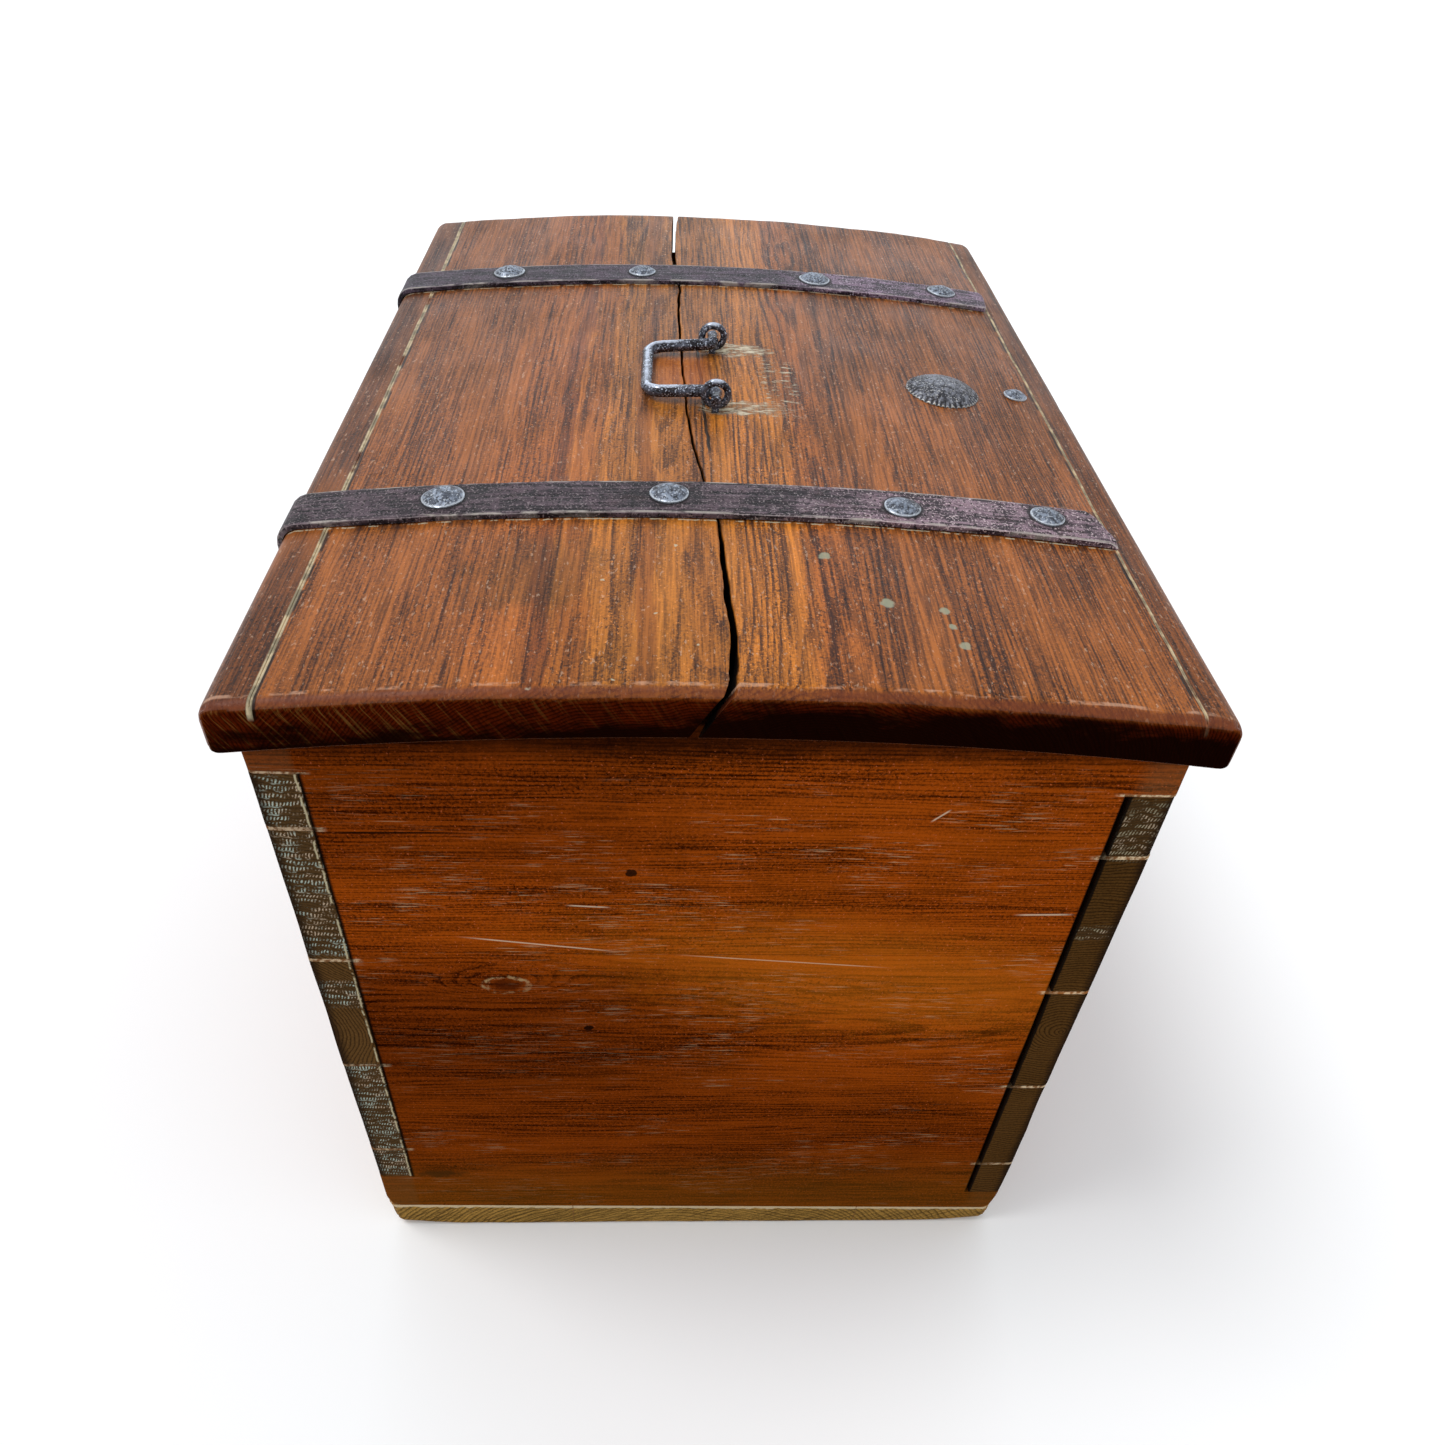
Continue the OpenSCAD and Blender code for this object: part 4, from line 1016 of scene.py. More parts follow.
def pine(name, grain, pith, ring, light, dark, end_colour, marks=None, bend=None, seed=0.0,
         contrast=0.8, gloss=0.5, rough=0.45, warm=(0.50, 0.15, 0.022), bare=(0.40, 0.24, 0.12),
         edge=(0.42, 0.17, 0.06), end_turn=(0.6, 0.95)):
    """Old pine. grain is X or Y; pith is the heart's place across the grain; ring its ring width."""
    g = Graph(name)
    if grain == "X":
        along, across, up = g.x, g.y, g.z
        axis = (1, 0, 0)
    else:
        along, across, up = g.y, g.x, g.z
        axis = (0, 1, 0)
    wood = g.join(along, across, up)
    slow = g.noise(wood, (700, 110, 110), 2, 0.5, seed)
    quick = g.noise(wood, (130, 16, 16), 2, 0.5, seed + 3)
    from_pith = g.vector("LENGTH", g.join(0.0, across - pith[0], up - pith[1]))
    reach = from_pith + (slow - 0.5) * 36 + (quick - 0.5) * 4
    if bend:
        reach = reach + bend(g)
    uneven = g.noise(g.join(reach, 0.0, 0.0), 17, 2, 0.6, seed + 5)
    phase = g.math("FRACT", (reach + (uneven - 0.5) * 2.2 * ring) * (1 / ring))
    late = g.ramp(phase, 0.38, 0.88) * g.ramp(phase, 1.0, 0.93)
    fibre = g.noise(wood, (50, 1.5, 1.5), 3, 0.65, seed + 7)
    hair = g.noise(wood, (170, 3.4, 3.4), 3, 0.6, seed + 9)
    stripe = g.noise(wood, (900, 22, 22), 3, 0.55, seed + 11)
    blotch = g.noise(g.place, 85, 3, 0.55, seed + 13)
    grit = g.noise(g.place, 1.9, 2, 0.7, seed + 15)
    cloud = g.noise(wood, (190, 30, 30), 3, 0.6, seed + 14)
    depth = (late * (0.6 * contrast) + (0.5 - fibre) * 2.4 + (0.5 - hair) * 1.7 + (stripe - 0.5) * 0.6
             + (cloud - 0.5) * 0.6 + (grit - 0.5) * 2.1)
    colour = g.mix(g.ramp(depth, -0.5, 0.95), light, dark)
    colour = g.mix(g.ramp(blotch, 0.46, 0.7) * 0.45, colour, (0.62, 0.66, 0.55), "MULTIPLY")
    colour = g.mix(g.ramp(cloud, 0.56, 0.30) * 0.35, colour, warm)
    pits = g.patches(2.8, 0.6, 0.66, seed + 16) * g.ramp(cloud, 0.42, 0.6)
    colour = g.mix(pits * 0.75, colour, scaled(dark, 0.2))
    flecks = g.patches(2.1, 0.67, 0.74, seed + 17, 1, 0.5)
    colour = g.mix(flecks * 0.7, colour, tuple(1.5 * part + 0.03 for part in light))
    height = late * 0.07 + (fibre - 0.5) * 0.16 + (hair - 0.5) * 0.12 - pits * 0.22 + flecks * 0.06
    square = g.math("ABSOLUTE", g.vector("DOT_PRODUCT", g.normal, axis))
    end = g.ramp(square, *end_turn)
    inner = g.mark("inside")
    matt = rough + (0.5 - fibre) * 0.25 + (blotch - 0.5) * 0.3 + end * 0.2 + inner * 0.25
    surface = Surface(g, colour, matt, height, end)
    rings = g.ramp(late * 0.6 + (0.5 - fibre) * 0.9 + (blotch - 0.5) * 0.8 + (grit - 0.5), -0.3, 0.8)
    surface.tint(end, g.mix(rings, end_colour, scaled(end_colour, 0.28)))
    worn = g.mark("wear") * g.patches(9, 0.42, 0.62, seed + 19)
    surface.tint(g.ramp(worn, 0.35, 0.95) * 0.6, edge)
    raw = g.mix(g.ramp(depth, -0.3, 0.9), bare, scaled(bare, 0.55))
    surface.tint(g.ramp(inner, 0.3, 0.9), raw)
    if marks:
        marks(g, surface)
    return g.finish(surface.colour, surface.rough, surface.height, specular=gloss)


def iron(name, light, dark, edge, grain_size=(14, 14, 14), metallic=0.6, rough=0.5, rust=0.25,
         seed=0.0, marks=None, gloss=0.5):
    """Forged iron with pits, a streaked skin and brighter worn edges."""
    g = Graph(name)
    skin = g.noise(g.place, grain_size, 4, 0.6, seed)
    cloud = g.noise(g.place, 13, 3, 0.55, seed + 2)
    pits = g.noise(g.place, 2.6, 3, 0.65, seed + 4)
    grit = g.noise(g.place, 1.5, 1, 0.5, seed + 6)
    colour = g.mix(g.ramp(skin * 0.6 + cloud * 0.4, 0.42, 0.58), dark, light)
    colour = g.mix(g.ramp(pits, 0.52, 0.62) * 0.9, colour, scaled(dark, 0.25))
    colour = g.mix(g.ramp(grit, 0.58, 0.68) * 0.7, colour, edge)
    brown = g.patches(24, 0.54, 0.72, seed + 8, 4, 0.65)
    colour = g.mix(brown * rust, colour, (0.13, 0.045, 0.022))
    worn = g.ramp(g.mark("wear") + g.stray(6, 0.9, seed + 10), 0.45, 0.95)
    colour = g.mix(worn * 0.75, colour, edge)
    height = (skin - 0.5) * 0.35 - g.ramp(pits, 0.5, 0.68) * 0.3 + (grit - 0.5) * 0.08
    surface = Surface(g, colour, rough + (cloud - 0.5) * 0.35 - worn * 0.12, height)
    if marks:
        marks(g, surface)
    return g.finish(surface.colour, surface.rough, surface.height, metallic=metallic, specular=gloss)


CREAM = (0.52, 0.47, 0.33)
BLACK = (0.005, 0.003, 0.002)


def split_marks(g, wood):
    """Painted shade down the split's walls, darker with depth, and the fine second crack in front of it."""
    # Painted shade: the split's walls go black below the first few millimetres.
    wood.tint(g.ramp(g.mark("split_shade"), 0.05, 0.8), BLACK)
    line = g.y - g.x * 0.035 - 11.8 + g.stray((30, 400, 400), 6, 4.0, 2, 0.5)
    crack = g.band(line, 0, 0.7, 0.8) * g.ramp(g.x, -145, -125) * g.ramp(g.x, 62, 50)
    crack = crack * g.ramp(g.z, *TOP_MIDDLE_Z)
    wood.tint(crack * 0.95, BLACK)
    wood.raise_by(crack * -0.8)


def joint_marks(joint, outward, half):
    """Pale filler along the joint between a lid board and its edge strip, and a painted shadow line beside
    it.
    """
    def paint(g, wood):
        top = g.ramp(g.z, *TOP_EDGE_Z)
        gaps = g.patches((48, 200, 200), 0.32, 0.42, 6.0)
        off = g.y - joint - g.stray((55, 400, 400), 2.4, 8.0)
        filler = g.band(off, 0, half, 0.8) * gaps * top
        shadow = g.band(off - outward * 2.3, 0, 0.6, 0.9) * top
        # Painted shadow: a dark line beside the filler, on the step's shaded side.
        wood.tint(shadow * g.patches((30, 90, 90), 0.42, 0.55, 9.0, 2, 0.5) * 0.9, BLACK)
        pale = g.mix(g.patches(14, 0.42, 0.6), (0.26, 0.22, 0.14), (0.62, 0.50, 0.31))
        wood.tint(filler * 0.9, pale)
        wood.raise_by(filler * -0.3 - shadow * 0.5)
    return paint


def upper_side(g):
    """1 on the lid's upper side, 0 on its underside."""
    return g.ramp(g.mark("deep"), 0.6, 0.4)


def handle_scuffs(g, wood):
    """Torn pale wood round the eyes and scuffs in front of them, rubbed wood inside the bail."""
    torn = g.noise(g.place, (5, 13, 11), 4, 0.72, 21.0)
    line = g.patches((2.2, 12, 9), 0.44, 0.56, 23.0, 3, 0.7)
    round_eyes = []
    for eye, reach in ((EYES["left"], 34), (EYES["right"], 30)):
        near = g.oval(g.x - eye - 3, 13, g.y + 20, reach)
        round_eyes.append(g.ramp(near + (torn - 0.5) * 2.6, 1.05, 0.6) * upper_side(g))
    total = g.merge("MAXIMUM", round_eyes)
    row = g.band(g.y, -50, 10, 8) * g.band(g.x, -22, 40, 20) * g.ramp(torn, 0.50, 0.60) * upper_side(g)
    pale = g.math("MAXIMUM", total * (line * 0.75 + 0.2), row * line)
    wood.tint(total * 0.5, (0.20, 0.11, 0.055))
    wood.tint(pale * 0.9, g.mix(line, (0.34, 0.22, 0.12), (0.62, 0.55, 0.40)))
    wood.raise_by(pale * 0.8)
    rubbed = g.band(g.x, -9, 30, 16) * g.band(g.y, 27, 14, 16) * g.ramp(g.z, *TOP_MIDDLE_Z)
    wood.tint(rubbed * 0.4, (0.5, 0.13, 0.03))


def dust_and_painted_sheen(g, wood):
    """Darker, bluer wood towards the right end, partly dust and partly painted sheen of the sky seen there
    at a low angle, and a brown stain on the back half of the left end.
    """
    cloud = g.stray((120, 60, 60), 500, 27.0, 4, 0.62)
    # Painted sheen and dust: the right end is darkened and turned bluer, standing in for the sky's sheen
    # seen there at a low angle.
    wood.tint(g.ramp(g.x + cloud, -260, 160) * (1 - wood.end) * 0.55, (0.60, 0.66, 0.74), "MULTIPLY")
    stain = g.oval(g.x + 292, 46, g.y - 118, 44)
    ragged = g.stray((26, 20, 26), 1.6, 29.0, 4, 0.68)
    wood.tint(g.ramp(stain + ragged, 1.2, 0.5) * upper_side(g) * 0.65, (0.50, 0.60, 0.62), "MULTIPLY")


def fine_lines(g, wood):
    """Open pores along the lid's grain, darker towards the front, with dust in some of them."""
    pores = g.noise(g.place, (70, 3.0, 9), 3, 0.62, 28.0)
    front = g.ramp(g.y, 40, -90) * 0.4 + 0.6
    face = (1 - wood.end) * upper_side(g)
    wood.tint(g.ramp(pores, 0.49, 0.60) * front * face * 0.7, (0.40, 0.38, 0.41), "MULTIPLY")
    dust = g.patches((5, 2.4, 3), 0.63, 0.70, 30.0, 2)
    wood.tint(dust * face * 0.45, (0.55, 0.36, 0.24))
    wood.raise_by((0.5 - pores) * face * 0.25)


def lid_spots(places, colour, amount):
    """Small filled or worn spots on the lid, each with its place along X and Y and its radius."""
    def paint(g, wood):
        spots = [g.spot((x, y, float(lid_top(y))), radius, radius * 0.5) for x, y, radius in places]
        total = g.merge("MAXIMUM", spots)
        wood.tint(total * amount, colour)
        wood.raise_by(total * -0.3)
    return paint


def tones(places, colour, amount):
    """Soft bands along the lid: each has its middle, half width and fade along Y."""
    def paint(g, wood):
        shift = g.stray((260, 60, 60), 34, 31.0)
        fray = g.stray((40, 3, 3), 20, 33.0)
        for middle, half, fade in places:
            band = g.band(g.y + shift + fray, middle, half, fade)
            wood.tint(band * (1 - wood.end) * upper_side(g) * amount, colour, "MULTIPLY")
    return paint


def end_shade_and_saw_marks(g, wood):
    """Painted shade towards the lower edge and the front of the lid's end grain, with slanting saw marks."""
    uneven = g.stray((20, 34, 9), 1.5, 37.0, 4, 0.65)
    low = g.ramp(g.mark("deep") + uneven + g.ramp(g.y, 90, -40) * 0.5, 0.35, 0.95)
    comb = g.noise(g.join(g.x, g.y - g.z * 0.6, g.z * 0.08), (3, 1.9, 3), 3, 0.7, 38.0)
    back = g.ramp(g.y, 40, 200)
    wood.tint(wood.end * g.ramp(comb, 0.52, 0.66) * (back * 0.45 + 0.1), (0.13, 0.062, 0.014))
    wood.tint(wood.end * g.ramp(comb, 0.47, 0.36) * 0.55, (0.008, 0.0016, 0.0005))
    # Painted shade: the end grain goes near black towards its lower edge and its front.
    wood.tint(wood.end * low * 0.95, (0.0035, 0.0008, 0.0004))


def edge_band_and_painted_glint(g, wood):
    """Darker red-brown band on the rounded edges of the lid's ends, and a painted highlight: a thin pale
    glint line where they start.
    """
    end = g.math("ABSOLUTE", g.x)
    broken = g.noise(g.place, (9, 22, 9), 4, 0.65, 65.0)
    upper = upper_side(g) * (1 - wood.end)
    wood.tint(g.ramp(end + (broken - 0.5) * 5, 401, 405) * upper * 0.75, (0.135, 0.028, 0.008))
    # Painted highlight: a thin pale glint line along the start of the rounding.
    glint = g.band(end + (broken - 0.5) * 4, 401, 0.6, 1.4) * g.ramp(broken, 0.46, 0.60)
    wood.tint(glint * upper * 0.5, (0.62, 0.36, 0.24))


def strap_gap(g):
    """Distance along X from the middle of the nearer strap."""
    return g.merge("MINIMUM", [g.math("ABSOLUTE", g.x - x) for x in STRAPS.values()])


def strap_dust(g, wood):
    """Pale dust and dark stain on the wood along the straps' edges."""
    near = strap_gap(g)
    broken = g.noise(g.place, (60, 9, 60), 4, 0.7, 71.0)
    fine = g.noise(g.place, 3, 2, 0.6, 73.0)
    top = g.ramp(g.z, *TOP_EDGE_Z) * g.ramp(g.y, STRAP_FRONT, STRAP_FRONT + 10)
    half = STRAP_W / 2
    stain = g.band(near, half + 3, 1, 4) * g.ramp(broken, 0.48, 0.62)
    wood.tint(stain * top * 0.6, (0.03, 0.012, 0.008))
    dust = g.band(near + (fine - 0.5) * 2, half + 1, 0.35, 0.6) * g.ramp(broken, 0.54, 0.47)
    wood.tint(dust * top * 0.8, CREAM)


def both(*paints):
    """One paint that lays several on, first to last."""
    def paint(g, wood):
        for one in paints:
            one(g, wood)
    return paint


def tail_marks(zones, colour):
    """Rows of short slanting chisel-like flecks on the end grain, within the given heights."""
    def paint(g, wood):
        slant = g.noise(g.place, (60, 14, 10), 3, 0.6, 41.0)
        fine = g.noise(g.place, (60, 3.5, 3.5), 2, 0.6, 42.0)
        comb = g.math("FRACT", (g.y + g.z * 0.3 + slant * 5) * (1 / 2.2))
        row = g.math("FRACT", (g.z - g.y * 0.08 + slant * 12) * (1 / 6.4))
        tick = g.band(comb, 0.5, 0.1, 0.24) * g.band(row, 0.5, 0.18, 0.16)
        choose = g.patches((60, 18, 6), 0.38, 0.54, 43.0) * g.ramp(fine, 0.36, 0.50)
        underline = g.band(row, 0.14, 0.05, 0.1) * g.ramp(slant, 0.5, 0.6) * 0.7
        fleck = g.math("MAXIMUM", tick, underline)
        warmth = g.patches((60, 20, 11), 0.45, 0.60, 44.0, 2, 0.5)
        parts = [g.band(g.z, (low + high) / 2, (high - low) / 2, 6) for low, high in zones]
        zone = g.merge("MAXIMUM", parts)
        wood.tint(zone * wood.end * 0.6, (0.042, 0.024, 0.010))
        wood.tint(fleck * choose * zone * wood.end * 0.68, g.mix(warmth, colour, (0.58, 0.44, 0.31)))
        wood.raise_by(fleck * choose * zone * wood.end * 0.25)
    return paint


def shoulder_dust_and_shade(side, dust):
    """Painted shade in the gap where one corner's tails meet the end panel, dust beside it, and painted
    shade along the tails' outer edge.
    """
    def paint(g, wood):
        inward = g.y * side * -1.0 + SIDE_IN
        uneven = g.stray((60, 60, 20), 3.4, 55.0, 4, 0.7)
        broken = g.patches((40, 40, 13), 0.42, 0.50, 57.0, 3, 0.65)
        pale = g.band(inward + uneven, -2.0, 0.25, 0.7) * broken * wood.end
        wood.tint(pale * dust, (0.46, 0.40, 0.25))
        corner = g.ramp(g.math("ABSOLUTE", g.x), END_IN - 1, END_IN + 1)
        # Painted shade: black at the shoulder, on the tails' inner face and end grain, standing for the dark
        # of the gap there.
        wood.tint(g.ramp(inward + uneven * 0.6, -2.2 + dust, -1.0 + dust) * corner * 0.97, BLACK)
        # Painted shade along the tails' outer edge, at the box's corner.
        rim = g.ramp(inward + uneven * 2.0, -20, -28) * wood.end
        wood.tint(rim * 0.85, (0.010, 0.005, 0.0025))
    return paint


def pale_pins(g, wood):
    """The dovetail pins, pale where they are thin."""
    pale = g.mix(g.patches(4, 0.4, 0.6), (0.66, 0.52, 0.33), (0.20, 0.10, 0.04))
    pins = g.mark("pin")
    lines_of_pins = []
    for seams, shoulder in ((BACK_SEAMS, 238), (FRONT_SEAMS, -236)):
        beyond = g.ramp(g.y, shoulder, shoulder + math.copysign(8, shoulder))
        for seam in seams[1:]:
            half, middle = (PIN_HALF + 0.2, seam) if seam != seams[-1] else (0.6, seam + 1)
            lines_of_pins.append(g.band(g.z, middle, half, 0.6) * beyond)
    thin = g.merge("MAXIMUM", lines_of_pins)
    wood.tint(thin * 0.85, pale)
    wood.tint(pins * (1 - thin) * 0.4, (0.16, 0.07, 0.025))


def knot_marks(g, wood):
    """The end's knot with its broken pale rim."""
    outer = g.ramp(g.x, -385, -392)
    bent_y, bent_z = g.split(g.ragged())[1:]
    knot = g.oval(bent_y - 144, 13, bent_z - 366, 7.5)
    wood.tint(g.ramp(knot, 1.1, 0.5) * outer * 0.75, (0.060, 0.010, 0.002))
    upper = g.ramp(g.z + g.y * 0.25, 396, 406)
    rim = g.band(knot, 1.2, 0.06, 0.22) * g.patches(5, 0.40, 0.60, 45.0)
    wood.tint(rim * outer * (upper * 0.55 + 0.4), (0.48, 0.32, 0.15))
    wood.raise_by(g.ramp(knot, 1.3, 0.7) * -0.25)


def scratches(g, wood):
    """Fine scrapes all over the panel and five long scratches on the outer end."""
    places = g.patches((60, 90, 26), 0.5, 0.62, 49.0, 2, 0.5)
    runs = g.patches((9, 26, 1.1), 0.57, 0.66, 47.0)
    wood.tint(runs * places * g.ramp(g.z, 600, 520) * (1 - wood.end) * 0.6, (0.42, 0.27, 0.15))
    for start, end, width in (
            ((176, 420), (60, 404), 1.0), ((30, 402), (-130, 388), 0.8),
            ((-199, 447), (-243, 448), 1.2), ((100, 453), (68, 451), 1.0),
            ((-128, 534), (-140, 546), 0.9)):
        line = g.stroke((OUTER_X, *start), (OUTER_X, *end), width)
        wood.tint(line * 0.75, (0.55, 0.42, 0.3))


def dents(g, wood):
    """Two dark dents and a drying crack on the outer end."""
    holes = [g.spot((OUTER_X, 88, 314), 2.4), g.spot((OUTER_X, 56, 485), 2.6)]
    crack = g.stroke((OUTER_X, 248, 519), (OUTER_X, 150, 520), 0.9)
    deep = g.merge("MAXIMUM", [*holes, crack])
    wood.tint(deep * 0.9, BLACK)
    wood.raise_by(deep * -0.8)


def end_fog(g):
    """Uneven clouds that fray the smudge, the painted light and the painted shade of the ends."""
    return g.noise(g.place, 12, 4, 0.7, 51.0)


def end_smudge_and_shade(g, wood):
    """A smudge, painted shade under the lid, and painted shade at the two corners."""
    fog = end_fog(g)
    smudge = g.oval(g.y - 222, 22, g.z - 95, 8)
    wood.tint(g.ramp(smudge + (fog - 0.5) * 1.4, 1.1, 0.4) * 0.8, (0.02, 0.008, 0.004))
    # Painted shade: near black along the top of the end panel, under the lid's edge.
    shade = g.ramp(g.z + (fog - 0.5) * 14, 574, 598) * (1 - g.mark("inside"))
    wood.tint(shade * 0.85, (0.012, 0.003, 0.001))
    # Painted shade: black lines down the panel's edges where it meets the tails at the two corners, standing
    # for the dark of the gaps there.
    back = g.ramp(g.y, 244.5, 246.5) * g.band(g.z, 329, 238, 2)
    front = g.ramp(g.y, -242.4, -243.6) * g.band(g.z, 308, 250, 2)
    wood.tint((back + front) * (1 - g.mark("pin")) * 0.9, BLACK)


def end_painted_light_and_shade(g, wood):
    """Painted light and shade on the end panel: a warm painted glow in its middle and painted shade at its
    back and lower down; darker towards its foot.
    """
    fog = end_fog(g)
    # Painted light: a warm glow in the middle of the panel.
    glow = g.oval(g.y + 110, 240, g.z - g.y * 0.15 - 390, 75)
    wood.tint(g.ramp(glow + (fog - 0.5) * 0.8, 1.2, 0.2) * 0.32, (0.48, 0.135, 0.008))
    # Painted shade: darker towards the back and lower down, leaving a lit band near height 437.
    light_band = g.band(g.z + (fog - 0.5) * 30, 437, 15, 60)
    shadow = g.ramp(g.y + (fog - 0.5) * 160, -60, 110) * (1 - light_band)
    wood.tint(shadow * g.ramp(g.z, 170, 300) * 0.75, (0.58, 0.54, 0.56), "MULTIPLY")
    dusk = g.ramp(g.z - g.y * 0.3 + (fog - 0.5) * 60, 400, 180)
    wood.tint(dusk * 0.55, (0.30, 0.27, 0.24), "MULTIPLY")
    low = g.ramp(g.z + (fog - 0.5) * 30, 150, 45)
    wood.tint(low * 0.35, (0.15, 0.06, 0.006))


end_panel_marks = both(pale_pins, knot_marks, scratches, dents, end_smudge_and_shade, end_painted_light_and_shade)


def knot_bend(g):
    """The grain's way round the end's knot."""
    far = g.oval(g.y - 144, 34, g.z - 368, 13)
    return g.ramp(far, 1.9, 0.0) * g.ramp(g.x, -340, -380) * 8


# ---------------------------------------------------------------- materials

LID_LIGHT = (0.37, 0.105, 0.014)
LID_DARK = (0.045, 0.011, 0.003)
LID_END = (0.060, 0.0065, 0.0006)
STRIP_LIGHT = (0.25, 0.068, 0.009)
STRIP_BACK_LIGHT = (0.19, 0.052, 0.007)
STRIP_DARK = (0.030, 0.008, 0.0022)
# Worn rounded edges of the lid, made lighter red-brown to stand in for the sheen on them: wear and painted
# highlight.
LID_EDGE_WEAR_AND_SHEEN = (0.25, 0.060, 0.015)
END_LIGHT = (0.285, 0.051, 0.0030)
END_DARK = (0.035, 0.005, 0.0003)
END_WARM = (0.34, 0.064, 0.0030)

lid_paint = both(
    tones(((58, 30, 26), (-22, 20, 20)), (1.38, 1.58, 1.22), 1.0),
    tones(((116, 28, 22), (-44, 24, 20)), (1.24, 1.19, 1.04), 1.0),
    tones(((92, 5, 6), (50, 4, 6), (110, 3, 5)), (0.52, 0.42, 0.45), 0.7),
    dust_and_painted_sheen, fine_lines, split_marks, handle_scuffs, strap_dust, edge_band_and_painted_glint, end_shade_and_saw_marks)


def lid_pine(name, pith, ring, marks, light=LID_LIGHT, dark=LID_DARK, **looks):
    """Polished face and matt end grain of one lid piece."""
    face = pine("lid_pine_" + name, "X", pith, ring, light, dark, LID_END, marks,
                gloss=0.2, edge=LID_EDGE_WEAR_AND_SHEEN, **looks)
    end = pine("lid_pine_end_" + name, "X", pith, ring, light, dark, LID_END, marks,
               gloss=0.0, edge=LID_EDGE_WEAR_AND_SHEEN, **looks)
    return face, end


# Small marks on the lid's left end: place along X and Y, radius
NICKS = (
    (-404, 109, 1.6), (-398, 64, 1.0), (-301, 75, 0.9),
    (-262, 31, 1.1), (-336, 42, 0.9), (-366, 18, 1.0))
FILLED_HOLES = (
    (-318, -96, 3.6), (-322, -131, 2.8), (-338, -133, 2.4), (-356, -137, 2.6), (-268, -63, 3.0))

PUTTY = (0.30, 0.31, 0.21)
back_filler_and_shadow = joint_marks(BACK_JOINT, -1, 1.2)
front_filler_and_shadow = joint_marks(FRONT_JOINT, 1, 0.6)
strip_paint = both(dust_and_painted_sheen, fine_lines, strap_dust, edge_band_and_painted_glint, end_shade_and_saw_marks)

lid_back_pine = lid_pine(
    "back", pith=(40, 470), ring=2.1, seed=2.0, contrast=0.7,
    marks=both(lid_paint, back_filler_and_shadow, lid_spots(NICKS, CREAM, 0.8)))
lid_front_pine = lid_pine(
    "front", pith=(-60, 520), ring=2.0, seed=5.0, contrast=0.9,
    marks=both(lid_paint, front_filler_and_shadow, lid_spots(FILLED_HOLES, PUTTY, 0.8)))
strip_back_pine = lid_pine(
    "strip_back", pith=(500, 560), ring=2.2, seed=9.0,
    light=STRIP_BACK_LIGHT, dark=STRIP_DARK, marks=both(strip_paint, back_filler_and_shadow))
strip_front_pine = lid_pine(
    "strip_front", pith=(-560, 600), ring=2.1, seed=12.0,
    light=STRIP_LIGHT, dark=STRIP_DARK, marks=both(strip_paint, front_filler_and_shadow))


def end_pine(name, pith, ring, seed, bend=None):
    """Red-brown wood of the two end walls."""
    return pine(
        "end_pine_" + name, "Y", pith, ring, END_LIGHT, END_DARK, (0.13, 0.045, 0.009),
        end_panel_marks, bend, seed=seed, gloss=0.0, rough=0.55, warm=END_WARM, edge=(0.30, 0.13, 0.05))


end_lower_pine = end_pine("lower", pith=(-180, 330), ring=1.9, seed=21.0, bend=knot_bend)
end_upper_pine = end_pine("upper", pith=(-150, 720), ring=1.8, seed=25.0)

TAIL = (0.105, 0.050, 0.014)
TAIL_FRONT = (0.080, 0.035, 0.0075)
GREEN = (0.47, 0.56, 0.48)
GREY_GREEN = (0.36, 0.32, 0.21)
BACK_TICKS = ((526, 562), (402, 516), (343, 366), (98, 262))
FRONT_TICKS = ((505, 552), (425, 432))


def wall_pine(name, pith, tail, marks, seed, edge):
    """Wood of the front or back wall; tail is the colour of its end grain."""
    return pine(
        "wall_pine_" + name, "X", pith, 3.0, (0.31, 0.072, 0.008), (0.045, 0.009, 0.0015), tail, marks,
        seed=seed, gloss=0.01, rough=0.6, edge=edge, end_turn=(0.15, 0.45))


back_pine = wall_pine(
    "back", pith=(330, 300), tail=TAIL, seed=31.0, edge=(0.16, 0.11, 0.05),
    marks=both(tail_marks(BACK_TICKS, GREEN), shoulder_dust_and_shade(1, 0.8)))
front_pine = wall_pine(
    "front", pith=(-268, 310), tail=TAIL_FRONT, seed=35.0, edge=(0.08, 0.04, 0.016),
    marks=both(tail_marks(FRONT_TICKS, GREY_GREEN), shoulder_dust_and_shade(-1, 0.0)))


def floor_edge(g, wood):
    """Pale upper edge of the floor boards' ends and slanting lines across them."""
    top = g.z - (FLOOR_FRONT_T + (FLOOR_BACK_T - FLOOR_FRONT_T) / (2 * HALF_W) * (g.y + HALF_W))
    uneven = g.noise(g.place, (20, 9, 5), 4, 0.7, 62.0) - 0.5
    comb = g.noise(g.join(g.x, g.y + g.z * 1.5, g.z * 0.1), (4, 2.4, 4), 3, 0.7, 61.0)
    wood.tint(g.ramp(comb + uneven * 0.3, 0.48, 0.60) * wood.end * 0.75, (0.06, 0.030, 0.008))
    bright = g.ramp(top + uneven * 9, -5, -3)
    wood.tint(bright * wood.end * 0.75, (0.60, 0.48, 0.31))


floor_pine = pine(
    "floor_pine", "X", (20, -160), 4.5, (0.34, 0.20, 0.075), (0.13, 0.068, 0.022), (0.38, 0.21, 0.045),
    floor_edge, seed=41.0, gloss=0.04, rough=0.65, bare=(0.42, 0.27, 0.14))


